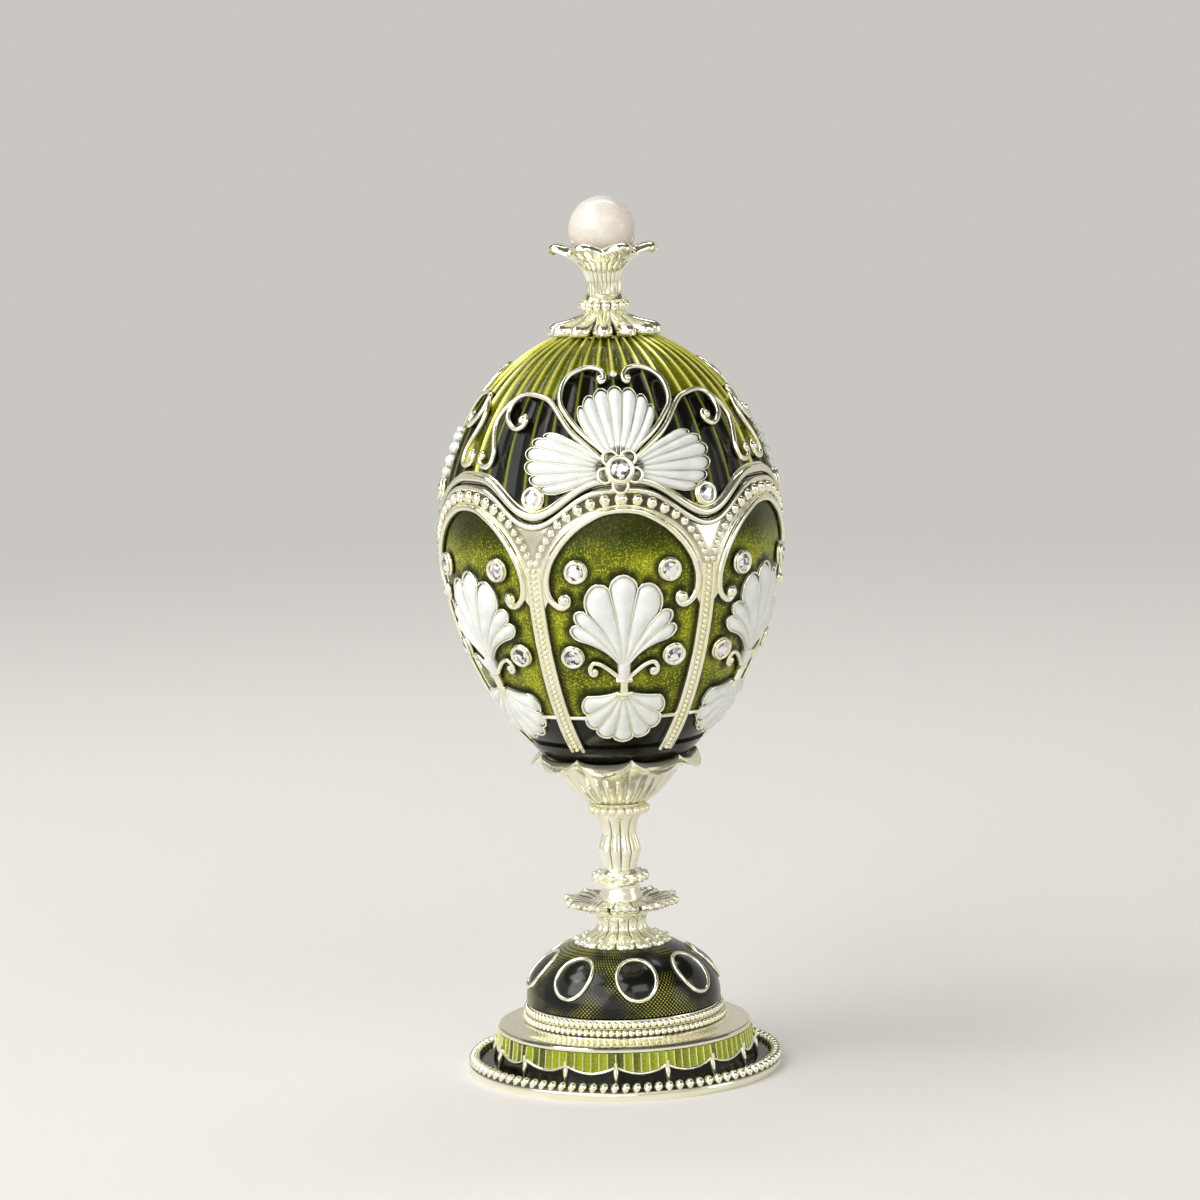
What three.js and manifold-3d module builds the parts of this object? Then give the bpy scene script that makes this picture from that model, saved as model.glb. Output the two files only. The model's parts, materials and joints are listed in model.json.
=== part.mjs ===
// Egg-shaped jewelry box on a pedestal foot. Two cast egg halves with enamel cells meet on a wavy
// seam and are hinged at the back; the egg stands in a petal cup on a turned stem, and one long
// screw draws the whole stand together. Front is -Y, the hinge is at +Y, the table is at Z = 0.
import * as THREE from 'three';
import { mergeVertices } from 'three/addons/utils/BufferGeometryUtils.js';
import ManifoldModule from 'manifold-3d';

const kernel = await ManifoldModule();
kernel.setup();

// Shared clearances
const seat = 0.3;               // gap between pieces that sit against each other
const degree = Math.PI / 180;

// Egg
const girthRadius = 25.6;       // over the polished frame, at the widest girth
const crownRise = 32.3;         // girth to the upper pole
const footDrop = 36;            // girth to the lower pole
const footTaper = 1.6;          // below 2 draws the lower half in faster
const footCut = 35;             // girth to the flat that stands in the cup
const eggWall = 2.2;
const bowlFloor = 4.5;          // thickness of the bowl's foot, tapped for the stem screw
const panels = 6;
const eggFacets = 36;

// Wavy seam, heights measured from the girth
const seamPeak = 10.2;
const seamDip = 5.2;
const seamSharpness = 1.7;
const rimBand = 1.7;            // polished band on the lid above the seam

// Enamel cells
const cellDepth = 1.0;
const enamelThickness = 0.4;
const enamelTop = seat + enamelThickness - cellDepth;
const cellBottom = -30.2;
const archSpring = -2.5;
const archTop = 6.3;
const archHalfAngle = 24.5;
const hookHeight = -7;
const ribHalfWidth = 1.1;

// Raised ornament
const reliefBase = enamelTop + seat;
const reliefHeight = 0.8;
const wireRadius = 0.45;
const bezelRadius = 1.72;
const rosetteRadius = 2.5;
const rosetteHeight = 12.4;
const crystalRadius = 1.3;

// Stand
const footRadius = 23.75;
const footThickness = 1.0;
const rimBead = 1.5;
const skirtRadius = 20.1;
const skirtTopRadius = 19.1;
const skirtEnamel = 2.2;
const scallops = 16;
const plinthHeight = 6.8;
const plinthWeb = 2.2;
const stepLip = 0.7;
const padThickness = 0.8;
const plinthWall = 2.1;
const galleryRadius = 15.9;
const galleryHeight = 2.9;
const domeRadius = 14.7;
const domeCrown = 9.3;          // vertical half axis of the dome
const domeShoulder = 0.7;       // straight wall below the curve
const domeRise = 9.0;
const domeWall = 2.2;
const ovals = 8;
const ovalHalfWidth = 2.8;
const ovalHalfHeight = 3.5;
const ovalTurn = 5.3;           // degrees from the front to the first oval
const calyxHeight = 4.0;
const calyxRadius = 6.9;
const leafHeight = 1.4;
const leafRadius = 8.8;
const balusterHeight = 14.6;
const balusterRadius = 4.75;
const cupHeight = 4.2;          // underside of the cup to the floor that carries the egg
const cupPetalReach = 3.2;      // petals stand this far out from the cup's rim
const petals = 8;

// Stem screw, finial and hinge
const screwRadius = 1.5;
const screwHead = 2.75;
const screwHeadHeight = 2.0;
const washerRadius = 3.6;
const washerThickness = 0.5;
const studRadius = 1.25;
const pegRadius = 0.9;
const nutRadius = 2.6;
const nutHeight = 2.0;
const padRadius = 6.4;          // flat on the lid under the finial
const padHeight = 31.2;
const collarRadius = 8.6;
const collarHeight = 5.1;
const finialCupHeight = 7.1;
const finialCupRadius = 8.4;
const pearlRadius = 5;
const barrelRadius = 1.4;
const pinRadius = 0.6;
const knuckleLength = 2.2;
const hingeStandOff = 1.0;      // hinge axis outside the egg wall
const lugHeight = 1.6;
const magnetRadius = 1.5;
const magnetThickness = 1.5;

// Levels of the stand, each resting on the one below
const galleryLevel = plinthHeight + seat;
const domeLevel = galleryLevel + galleryHeight + seat;
const calyxLevel = domeLevel + domeRise + seat;
const leafLevel = calyxLevel + calyxHeight + seat;
const balusterLevel = leafLevel + leafHeight + seat;
const cupLevel = balusterLevel + balusterHeight + seat;
const eggFootLevel = cupLevel + cupHeight + seat;
const girthLevel = eggFootLevel + footCut;
const stemBore = screwRadius + seat;
const studBore = studRadius + seat;

// Surfaces: light gold plating, enamels, stones, steel
const finish = (color, roughness, metalness) =>
  new THREE.MeshStandardMaterial({ color, roughness, metalness });
const gold = finish(0xe6dcae, 0.2, 1);
const greenEnamel = finish(0x6f7a12, 0.12, 0);
const blackEnamel = finish(0x16180c, 0.1, 0);
const whiteEnamel = finish(0xe4e8e6, 0.15, 0);
const pearlCoat = finish(0xf1ece0, 0.2, 0);
const crystalGlass = finish(0xe8f0f2, 0.03, 0);
const steel = finish(0x9a9c9e, 0.35, 1);
const felt = finish(0x1d2a1c, 0.95, 0);

const part = new THREE.Group();
part.name = 'egg_jewelry_box';

function add(name, geometry, material) {
  const mesh = new THREE.Mesh(geometry, material);
  mesh.name = name;
  part.add(mesh);
}

// Geometry to solid and back, for joining and cutting
function solid(geometry) {
  const bare = geometry.clone();
  bare.deleteAttribute('normal');
  bare.deleteAttribute('uv');
  const whole = mergeVertices(bare, 1e-4);
  return new kernel.Manifold(new kernel.Mesh({
    numProp: 3,
    vertProperties: new Float32Array(whole.getAttribute('position').array),
    triVerts: new Uint32Array(whole.index.array),
  }));
}

function geometryOf(body) {
  const mesh = body.getMesh();
  const geometry = new THREE.BufferGeometry();
  geometry.setAttribute('position', new THREE.BufferAttribute(new Float32Array(mesh.vertProperties), 3));
  geometry.setIndex(new THREE.BufferAttribute(new Uint32Array(mesh.triVerts), 1));
  geometry.computeVertexNormals();
  return geometry;
}

const join = (geometries) => geometryOf(geometries.map(solid).reduce((all, next) => all.add(next)));
const cut = (geometry, tools) =>
  geometryOf(tools.map(solid).reduce((left, tool) => left.subtract(tool), solid(geometry)));

// A turned piece. The profile runs anticlockwise as [radius, height] and may change with the angle,
// which is measured from the front towards +X.
function turned(profileAt, segments) {
  const first = profileAt(0);
  const lathe = new THREE.LatheGeometry(first.map(([r, z]) => new THREE.Vector2(r, z)), segments);
  const place = lathe.getAttribute('position');
  for (let i = 0; i <= segments; i++) {
    const angle = (i % segments) / segments * 2 * Math.PI;
    profileAt(angle).forEach(([r, z], j) => {
      place.setXYZ(i * first.length + j, r * Math.sin(angle), -r * Math.cos(angle), z);
    });
  }
  return lathe;
}

const closed = (profile) => [...profile, profile[0]];
const ring = (profile, segments) => turned(() => closed(profile), segments);
const mix = (a, b, t) => a + (b - a) * t;
const steps = (count) => Array.from({ length: count + 1 }, (_, i) => i / count);

// A closed sheet with a front and a back skin; spot(u, v, skin) is a point, skin 1 is the front.
function sheet(columns, rows, spot) {
  const points = [];
  for (const skin of [0, 1]) {
    for (const v of rows) {
      for (const u of columns) points.push(spot(u, v, skin));
    }
  }
  const across = columns.length;
  const layer = across * rows.length;
  const index = [];
  const quad = (a, b, c, d) => index.push(a, b, c, a, c, d);
  for (let j = 0; j < rows.length - 1; j++) {
    for (let i = 0; i < across - 1; i++) {
      const a = j * across + i;
      quad(layer + a, layer + a + 1, layer + a + across + 1, layer + a + across);
      quad(a + across, a + across + 1, a + 1, a);
    }
    const left = j * across;
    const right = left + across - 1;
    quad(left, layer + left, layer + left + across, left + across);
    quad(layer + right, right, right + across, layer + right + across);
  }
  const top = layer - across;
  for (let i = 0; i < across - 1; i++) {
    quad(i, i + 1, layer + i + 1, layer + i);
    quad(layer + top + i, layer + top + i + 1, top + i + 1, top + i);
  }
  const geometry = new THREE.BufferGeometry().setFromPoints(points);
  geometry.setIndex(index);
  return geometry;
}

// Egg outline: radius at a height above the girth, and a point standing off the surface
function eggRadius(height) {
  if (height >= 0) return girthRadius * Math.sqrt(Math.max(0, 1 - (height / crownRise) ** 2));
  return girthRadius * Math.sqrt(Math.max(0, 1 - (-height / footDrop) ** footTaper));
}

function eggSpot(height, offset) {
  const slope = (eggRadius(height + 0.05) - eggRadius(height - 0.05)) / 0.1;
  const length = Math.hypot(1, slope);
  return [eggRadius(height) + offset / length, girthLevel + height - offset * slope / length];
}

function onEgg(azimuth, height, offset) {
  const [r, z] = eggSpot(height, offset);
  return new THREE.Vector3(r * Math.sin(azimuth), -r * Math.cos(azimuth), z);
}

// Height reached after walking a distance up the egg's meridian
function climb(height, distance) {
  const strides = 12;
  let reached = height;
  for (let i = 0; i < strides; i++) {
    const slope = (eggRadius(reached + 0.05) - eggRadius(reached - 0.05)) / 0.1;
    reached += distance / strides / Math.hypot(1, slope);
  }
  return reached;
}

// Piecewise outline through [position, value] pairs
function along(pairs, position) {
  for (let i = 1; i < pairs.length; i++) {
    if (position > pairs[i][0]) continue;
    const [x0, y0] = pairs[i - 1];
    const [x1, y1] = pairs[i];
    return mix(y0, y1, Math.max(0, position - x0) / (x1 - x0));
  }
  return pairs[pairs.length - 1][1];
}

const seamHeight = (azimuth) =>
  seamPeak - seamDip * ((1 - Math.cos(panels * azimuth)) / 2) ** seamSharpness;

// A bar of small round section along a path
function bar(points, radius, count) {
  const section = new THREE.Shape([0, 1, 2].map((k) =>
    new THREE.Vector2(radius * Math.cos(k * 2 * Math.PI / 3), radius * Math.sin(k * 2 * Math.PI / 3))));
  const path = new THREE.CatmullRomCurve3(points);
  return new THREE.ExtrudeGeometry(section, { steps: count, extrudePath: path, bevelEnabled: false });
}

// A stud standing square on the egg, from one offset to another
function stud(azimuth, height, radius, topRadius, from, to, sides) {
  const foot = onEgg(azimuth, height, from);
  const tip = onEgg(azimuth, height, to);
  const geometry = new THREE.CylinderGeometry(topRadius, radius, to - from, sides);
  const outward = tip.clone().sub(foot).normalize();
  const turn = new THREE.Quaternion().setFromUnitVectors(new THREE.Vector3(0, 1, 0), outward);
  geometry.applyQuaternion(turn);
  const middle = foot.add(tip).multiplyScalar(0.5);
  return geometry.translate(middle.x, middle.y, middle.z);
}

// A scallop shell lying on the egg: a fan of petals from a root, heading measured from straight up
function shellFan({ azimuth, height, heading, spread, reach, outline, root, count }) {
  const columns = steps(count * 2);
  return sheet(columns, [root, 0.55, 1], (u, v, skin) => {
    const swing = mix(-spread, spread, u);
    const ridge = Math.abs(Math.sin(u * count * Math.PI));
    const edge = reach * along(outline, Math.abs(swing)) * (v === 1 ? 0.93 + 0.07 * ridge : 1);
    const angle = (heading + swing) * degree;
    const distance = v * edge;
    const level = climb(height, distance * Math.cos(angle));
    const sideways = distance * Math.sin(angle) / eggRadius(level);
    const lift = skin ? reliefHeight * (0.6 + 0.4 * ridge) : 0;
    return onEgg(azimuth + sideways, level, reliefBase + lift);
  });
}

const box = (x0, x1, y0, y1, z0, z1) => new THREE.BoxGeometry(x1 - x0, y1 - y0, z1 - z0)
  .translate((x0 + x1) / 2, (y0 + y1) / 2, (z0 + z1) / 2);
const upright = (radius, z0, z1, sides) => new THREE.CylinderGeometry(radius, radius, z1 - z0, sides)
  .rotateX(Math.PI / 2).translate(0, 0, (z0 + z1) / 2);

// Foot plinth with a beaded rim, a channel for black enamel and a wall behind the skirt enamel
const wallRadius = skirtRadius - skirtEnamel - seat;
const rimInner = footRadius - rimBead;
const channelLevel = footThickness * 0.8;
const stepUnder = plinthHeight - stepLip;
const webUnder = plinthHeight - plinthWeb;
add('foot_plinth', ring([
  [stemBore, webUnder], [wallRadius - plinthWall, webUnder], [wallRadius - plinthWall, 0],
  [footRadius, 0], [footRadius, footThickness], [footRadius, footThickness + rimBead * 0.6],
  [footRadius - rimBead / 2, footThickness + rimBead * 0.85], [rimInner, footThickness + rimBead * 0.5],
  [rimInner, channelLevel], [wallRadius, channelLevel], [wallRadius, stepUnder],
  [skirtTopRadius, stepUnder], [skirtTopRadius, plinthHeight], [stemBore, plinthHeight],
], 32), gold);

// Felt pad let into the hollow underside, flush with the foot
add('base_pad', turned(() => [
  [0, 0], [wallRadius - plinthWall - seat, 0],
  [wallRadius - plinthWall - seat, padThickness], [0, padThickness],
], 32), felt);

add('plinth_enamel', ring([
  [skirtRadius + seat, channelLevel + seat], [rimInner - seat, channelLevel + seat],
  [rimInner - seat, channelLevel + seat + enamelThickness],
  [skirtRadius + seat, channelLevel + seat + enamelThickness],
], 32), blackEnamel);

// Scalloped skirt: the wall is scooped out below each swag
add('skirt_enamel', turned((angle) => {
  const hollow = 0.5 * (1 - Math.cos(scallops * angle)) / 2;
  const low = channelLevel + seat;
  const high = stepUnder - seat;
  return closed([
    [wallRadius + seat, low], [skirtRadius, low],
    [mix(skirtRadius, skirtTopRadius, 0.35) - hollow, mix(low, high, 0.35)],
    [mix(skirtRadius, skirtTopRadius, 0.6), mix(low, high, 0.6)],
    [skirtTopRadius, high], [wallRadius + seat, high],
  ]);
}, scallops * 2), greenEnamel);

add('gallery_ring', ring([
  [domeRadius - domeWall - seat, galleryLevel], [galleryRadius, galleryLevel],
  [galleryRadius, galleryLevel + galleryHeight * 0.35],
  [galleryRadius - 0.7, galleryLevel + galleryHeight * 0.42],
  [galleryRadius - 0.5, galleryLevel + galleryHeight * 0.6],
  [galleryRadius - 1, galleryLevel + galleryHeight],
  [domeRadius - domeWall - seat, galleryLevel + galleryHeight],
], 32), gold);

// Dome of the base, hollow below, with a raised oval plate on each side
function domeSpot(rise, offset) {
  const t = Math.max(0, rise - domeShoulder) / domeCrown;
  const r = domeRadius * Math.sqrt(1 - t * t);
  const across = r / domeRadius ** 2;
  const up = t / domeCrown;
  const length = Math.hypot(across, up);
  return [r + offset * across / length, domeLevel + rise + offset * up / length];
}
const domeRows = [0, 0.28, 0.52, 0.72, 0.88, 1].map((v) => v * domeRise);
const domeRoof = domeRise - domeWall * 1.2;
const domeInside = [0.95, 0.6, 0].map((v) => {
  const rise = v * domeRoof;
  return [(domeRadius - domeWall) * Math.sqrt(1 - (rise / (domeRoof * 1.15)) ** 2), domeLevel + rise];
});
const domeBody = ring([
  ...domeRows.map((rise) => domeSpot(rise, 0)),
  [stemBore, domeLevel + domeRise], [stemBore, domeLevel + domeRoof * 0.95], ...domeInside,
], 24);
const ovalRise = domeShoulder + domeCrown * 0.4;
const ovalPlates = Array.from({ length: ovals }, (_, k) => {
  const [r0, z0] = domeSpot(ovalRise, -1.4);
  const [r1, z1] = domeSpot(ovalRise, 0.5);
  const outward = new THREE.Vector3(0, r0 - r1, z1 - z0);
  const plate = new THREE.CylinderGeometry(1, 1.1, outward.length(), 8);
  plate.scale(ovalHalfWidth, 1, ovalHalfHeight);
  const turn = new THREE.Quaternion().setFromUnitVectors(new THREE.Vector3(0, 1, 0), outward.normalize());
  plate.applyQuaternion(turn);
  plate.translate(0, -(r0 + r1) / 2, (z0 + z1) / 2);
  return plate.rotateZ((ovalTurn + k * 360 / ovals) * degree);
});
add('base_dome', join([domeBody, ...ovalPlates]), gold);

// Stem: leafy calyx, leaf collar, baluster and petal cup
const lobe = (angle, count) => 0.5 + 0.5 * Math.cos(count * angle);
add('stem_calyx', turned((angle) => {
  const fringe = calyxRadius - 0.5 * (1 - lobe(angle, 12));
  return closed([
    [stemBore, calyxLevel], [fringe, calyxLevel], [fringe - 0.1, calyxLevel + calyxHeight * 0.15],
    [calyxRadius * 0.75, calyxLevel + calyxHeight * 0.3],
    [calyxRadius * 0.6, calyxLevel + calyxHeight * 0.5],
    [calyxRadius * 0.54, calyxLevel + calyxHeight * 0.72], [calyxRadius * 0.6, calyxLevel + calyxHeight],
    [stemBore, calyxLevel + calyxHeight],
  ]);
}, 24), gold);

add('leaf_collar', turned((angle) => {
  const tip = leafRadius - 1.3 * (1 - lobe(angle, petals));
  const lift = 0.5 * lobe(angle, petals);
  return closed([
    [stemBore, leafLevel], [leafRadius * 0.45, leafLevel],
    [leafRadius * 0.72, leafLevel + leafHeight * 0.35],
    [tip, leafLevel + leafHeight * 0.65 + lift], [tip, leafLevel + leafHeight * 1.05 + lift],
    [leafRadius * 0.72, leafLevel + leafHeight * 0.95], [leafRadius * 0.45, leafLevel + leafHeight],
    [stemBore, leafLevel + leafHeight],
  ]);
}, petals * 3), gold);

const balusterProfile = [
  [0.61, 0], [0.61, 0.18], [0.86, 0.2], [0.925, 0.24], [0.86, 0.285], [0.55, 0.33], [0.58, 0.4],
  [0.64, 0.51], [0.6, 0.63], [0.53, 0.77], [0.67, 0.89], [0.95, 0.91], [1, 0.955], [0.95, 1],
].map(([share, v]) => [share * balusterRadius, balusterLevel + v * balusterHeight]);
add('baluster', ring([
  [stemBore, balusterLevel], ...balusterProfile, [stemBore, balusterLevel + balusterHeight],
], 16), gold);

// The cup follows the foot of the egg inside and opens into petals at its rim
const cupRim = 1.5 - footCut;
const cupNest = seat * 1.5;
add('egg_cup', turned((angle) => {
  const rim = eggRadius(cupRim) + cupNest;
  const reach = cupPetalReach - 1.2 * (1 - lobe(angle, petals));
  const droop = 0.5 * lobe(angle, petals);
  const rimLevel = girthLevel + cupRim;
  const under = eggRadius(-footCut) + cupNest;
  return closed([
    [stemBore, cupLevel], [under * 0.75, cupLevel], [under + 0.6, cupLevel + cupHeight * 0.35],
    [under + 1.4, cupLevel + cupHeight * 0.75], [rim + 0.4, rimLevel - 0.9],
    [rim + 0.5 + reach * 0.5, rimLevel - 0.7],
    [rim + 0.6 + reach, rimLevel - 0.9 - droop], [rim + 0.6 + reach, rimLevel - 0.2 - droop],
    [rim + 0.5 + reach * 0.5, rimLevel + 0.1], [rim, rimLevel],
    [mix(rim, under, 0.5), mix(rimLevel, eggFootLevel, 0.58) - seat], [under, eggFootLevel - seat],
    [stemBore, eggFootLevel - seat],
  ]);
}, petals * 3), gold);

// Long screw from the hollow of the plinth up into the foot of the bowl
const washerTop = webUnder - seat;
const headTop = washerTop - washerThickness - seat;
const tapDepth = bowlFloor - 0.8;
add('stem_screw', turned(() => [
  [0, headTop - screwHeadHeight], [screwHead, headTop - screwHeadHeight], [screwHead, headTop],
  [screwRadius, headTop], [screwRadius, eggFootLevel + tapDepth - seat],
  [0, eggFootLevel + tapDepth - seat],
], 16), steel);
add('stem_washer', ring([
  [stemBore, washerTop - washerThickness], [washerRadius, washerTop - washerThickness],
  [washerRadius, washerTop], [stemBore, washerTop],
], 16), steel);

// Egg bowl: one casting with ribs and arches left standing round six sunk cells
const cellRows = [
  cellBottom, mix(cellBottom, hookHeight, 0.2), mix(cellBottom, hookHeight, 0.45),
  mix(cellBottom, hookHeight, 0.72), hookHeight - 1, hookHeight, archSpring,
  mix(archSpring, archTop, 0.45), mix(archSpring, archTop, 0.78),
  mix(archSpring, archTop, 0.97),
];
function cellHalfAngle(height) {
  if (height < hookHeight) return 180 / panels * degree - ribHalfWidth / eggRadius(height);
  const climbed = Math.max(0, height - archSpring) / (archTop - archSpring);
  return archHalfAngle * degree * Math.sqrt(1 - climbed * climbed);
}
function cell(azimuth, inset, from, to) {
  const low = cellRows[0];
  const high = cellRows[cellRows.length - 1];
  return sheet(steps(4), cellRows, (u, height, skin) => {
    const level = Math.min(high - inset * 1.5, Math.max(low + inset, height));
    const half = cellHalfAngle(height) - inset / eggRadius(height);
    return onEgg(azimuth + (2 * u - 1) * half, level, skin ? to : from);
  });
}

const hingeLevel = girthLevel + seamPeak;
const hingeY = eggRadius(seamPeak) + hingeStandOff;
const across = (radius, x0, x1, sides) => new THREE.CylinderGeometry(radius, radius, x1 - x0, sides)
  .rotateZ(Math.PI / 2).translate((x0 + x1) / 2, hingeY, hingeLevel);
const hingeHalf = knuckleLength * 1.5 + seat;
const lugInner = hingeY - hingeStandOff - eggWall * 0.7;
const lugOuter = hingeY - hingeStandOff * 0.5;
const plateInner = lugInner + 0.6;
const plateHeight = 1.2;
const plateDrop = barrelRadius + seat + plateHeight;
const pocketOuter = girthRadius + barrelRadius;
const lidLug = (grow, outer) => box(
  -knuckleLength / 2 - grow, knuckleLength / 2 + grow, lugInner - grow, outer,
  hingeLevel - grow, hingeLevel + lugHeight + grow);
const bowlLug = (side, grow, outer) => {
  const near = knuckleLength / 2 + seat - grow;
  const far = hingeHalf + grow;
  return box(side > 0 ? near : -far, side > 0 ? far : -near, lugInner - grow, outer,
    hingeLevel - plateDrop - grow, hingeLevel + grow);
};
const bowlPlate = (grow, outer) => box(-hingeHalf - grow, hingeHalf + grow, plateInner - grow, outer,
  hingeLevel - plateDrop - grow, hingeLevel - barrelRadius - seat + grow);
const barrelPocket = across(barrelRadius + seat, -hingeHalf - seat, hingeHalf + seat, 12);

// Magnet bosses inside the front of the rim
const bossOuter = -(eggRadius(seamPeak) - eggWall * 0.6);
const bossInner = -(eggRadius(seamPeak) - eggWall - magnetRadius * 2 - 1.4);
const bossHalf = magnetRadius + 1.2;
const magnetY = (bossInner - eggRadius(seamPeak) + eggWall) / 2;
const bowlBossTop = hingeLevel - 1.2;
const lidBossUnder = hingeLevel - 0.2;
const disc = (radius, z0, z1) => upright(radius, z0, z1, 12).translate(0, magnetY, 0);

const bowlBody = turned((angle) => {
  const top = seamHeight(angle) - seat / 2;
  const floor = bowlFloor - footCut;
  const outer = [0, 0.07, 0.18, 0.33, 0.55, 0.8, 1].map((v) => eggSpot(mix(-footCut, top, v), 0));
  const inner = [1, 0.7, 0.42, 0.18, 0].map((v) => eggSpot(mix(floor + 1.2, top, v), -eggWall));
  const holeTop = eggFootLevel + tapDepth;
  return [
    [0, holeTop], [stemBore, holeTop], [stemBore, eggFootLevel],
    ...outer.map((p, i) => (i ? p : [p[0], eggFootLevel])), ...inner,
    [eggSpot(floor + 1.2, -eggWall)[0] * 0.85, eggFootLevel + bowlFloor], [0, eggFootLevel + bowlFloor],
  ];
}, eggFacets);
const panelAzimuths = Array.from({ length: panels }, (_, k) => k * 2 * Math.PI / panels);
const bowlBossUnder = bowlBossTop - magnetThickness - 1.5;
const bowlBoss = box(-bossHalf, bossHalf, bossOuter, bossInner, bowlBossUnder, bowlBossTop);
add('egg_bowl', cut(join([bowlBody, bowlBoss]), [
  ...panelAzimuths.map((azimuth) => cell(azimuth, 0, -cellDepth, 2)),
  barrelPocket, bowlLug(1, seat, pocketOuter), bowlLug(-1, seat, pocketOuter), bowlPlate(seat, pocketOuter),
  disc(magnetRadius + seat, bowlBossTop - magnetThickness - seat, bowlBossTop + 1),
]), gold);

// Enamel in each cell, with four stones in bezels standing on it
const upperStone = -2;
const lowerStone = -14.7;
const stones = [[15.5, upperStone], [19.2, lowerStone]];
panelAzimuths.forEach((azimuth, k) => {
  const field = cell(azimuth, seat, seat - cellDepth, enamelTop);
  const bezels = stones.flatMap(([offAxis, height]) => [-1, 1].map((side) =>
    stud(azimuth + side * offAxis * degree, height, bezelRadius, bezelRadius * 0.8,
      enamelTop - enamelThickness / 2, reliefBase + reliefHeight * 0.7, 6)));
  add(`panel_enamel_${k + 1}`, join([field, ...bezels]), greenEnamel);
});

// Ornament in each cell: large shell, stem and small inverted shell
const bigShell = {
  heading: 0, spread: 50, reach: 14.6, root: 0.1, count: 7,
  outline: [[0, 1], [18, 0.93], [40, 0.795], [50, 0.67]],
};
const smallShell = {
  heading: 180, spread: 68, reach: 9.2, root: 0.12, count: 5,
  outline: [[0, 1], [26, 0.935], [49, 0.783], [68, 0.63]],
};
const bigRoot = -17;
const smallRoot = -20.5;
const stemRadius = wireRadius * 1.8;
const reliefAxis = reliefBase + wireRadius;
panelAzimuths.forEach((azimuth, k) => {
  const stemTop = bigRoot + bigShell.reach * 0.14;
  const stemFoot = smallRoot - smallShell.reach * 0.18;
  const stem = [stemTop, bigRoot, mix(bigRoot, smallRoot, 0.5), smallRoot, stemFoot]
    .map((height) => onEgg(azimuth, height, reliefBase + stemRadius));
  add(`panel_ornament_${k + 1}`, join([
    shellFan({ azimuth, height: bigRoot, ...bigShell }),
    shellFan({ azimuth, height: smallRoot, ...smallShell }),
    bar(stem, stemRadius, 3),
  ]), whiteEnamel);
});

// Lid shell: polished wavy band at the rim, sunk above it for enamel, flat pad on top for the finial
const sector = 120 * degree;
const fromCartouche = (azimuth) => {
  const turns = azimuth / sector;
  return Math.abs(turns - Math.round(turns)) * 120;
};
const fromDip = (azimuth) => {
  const turns = azimuth / (2 * Math.PI / panels) - 0.5;
  return Math.abs(turns - Math.round(turns)) * 360 / panels;
};
const dipTab = 3.2;             // the band widens in each dip of the seam to carry a stone
const bandEdge = (azimuth) =>
  seamHeight(azimuth) + rimBand + dipTab * Math.exp(-((fromDip(azimuth) / 4.5) ** 2));
// The enamels meet the band along the straight edges between the lid's facets
function bandTop(azimuth) {
  const facet = 2 * Math.PI / eggFacets;
  const whole = Math.floor(azimuth / facet + 1e-6);
  return mix(bandEdge(whole * facet), bandEdge((whole + 1) * facet), Math.max(0, azimuth / facet - whole));
}
const padEdge = crownRise * Math.sqrt(1 - ((padRadius + cellDepth) / girthRadius) ** 2);
const padLevel = girthLevel + padHeight;
const padUnder = padLevel - eggWall - 0.4;
const lidBody = turned((angle) => {
  const low = seamHeight(angle) + seat / 2;
  const band = bandTop(angle);
  const outer = [0, 0.35, 0.65, 0.87, 1].map((v) => eggSpot(mix(band, padEdge, v), -cellDepth));
  const innerTop = padEdge - eggWall - 1;
  const inner = [1, 0.8, 0.45, 0].map((v) => eggSpot(mix(low, innerTop, v), -eggWall));
  return closed([
    eggSpot(low, 0), eggSpot(band, 0), ...outer,
    [padRadius, padLevel], [studBore, padLevel], [studBore, padUnder], ...inner,
  ]);
}, eggFacets);
const dips = panelAzimuths.map((azimuth) => azimuth + Math.PI / panels);
const dipHeight = seamPeak - seamDip + rimBand + dipTab * 0.45;
const dipBezels = dips.map((azimuth) =>
  stud(azimuth, dipHeight, bezelRadius * 0.87, bezelRadius * 0.7, -cellDepth, reliefHeight, 6));
const lidBossTop = lidBossUnder + magnetThickness + 1.5;
const lidBossOuter = cellDepth + 0.5 - eggRadius(lidBossTop - girthLevel);
const lidBoss = box(-bossHalf, bossHalf, lidBossOuter, bossInner, lidBossUnder, lidBossTop);
add('lid_shell', cut(join([lidBody, lidBoss, ...dipBezels]), [
  barrelPocket, lidLug(seat, pocketOuter), bowlLug(1, seat, pocketOuter), bowlLug(-1, seat, pocketOuter),
  disc(magnetRadius + seat, lidBossUnder - 1, lidBossUnder + magnetThickness + seat),
]), gold);

// Outline between the black cartouches and the green crown: degrees from a cartouche's middle and
// share of the crown's rise
const cartoucheTop = [
  [0, 0.78], [5, 0.799], [9, 0.817], [16, 0.824], [22, 0.802], [25.5, 0.762],
  [27, 0.681], [33, 0.703], [42, 0.712], [47.5, 0.7], [50, 0.678], [54, 0.613],
  [60, 0.613],
];
const outlineStep = 5;
const stripHalf = 4.5 * degree;
const stripTop = crownRise * 0.666;
const cartoucheHalf = 53.5 * degree;
const crownTop = padEdge - 0.6;
const cartouches = [0, 1, 2].map((k) => k * sector);
const crownCap = turned((angle) => {
  const low = along(cartoucheTop, fromCartouche(angle)) * crownRise + seat;
  const rows = [0, 0.4, 0.75, 1].map((v) => mix(low, crownTop, v));
  return closed([
    ...rows.map((height) => eggSpot(height, enamelTop)),
    ...rows.slice().reverse().map((height) => eggSpot(height, seat - cellDepth)),
  ]);
}, 360 / outlineStep);
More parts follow.
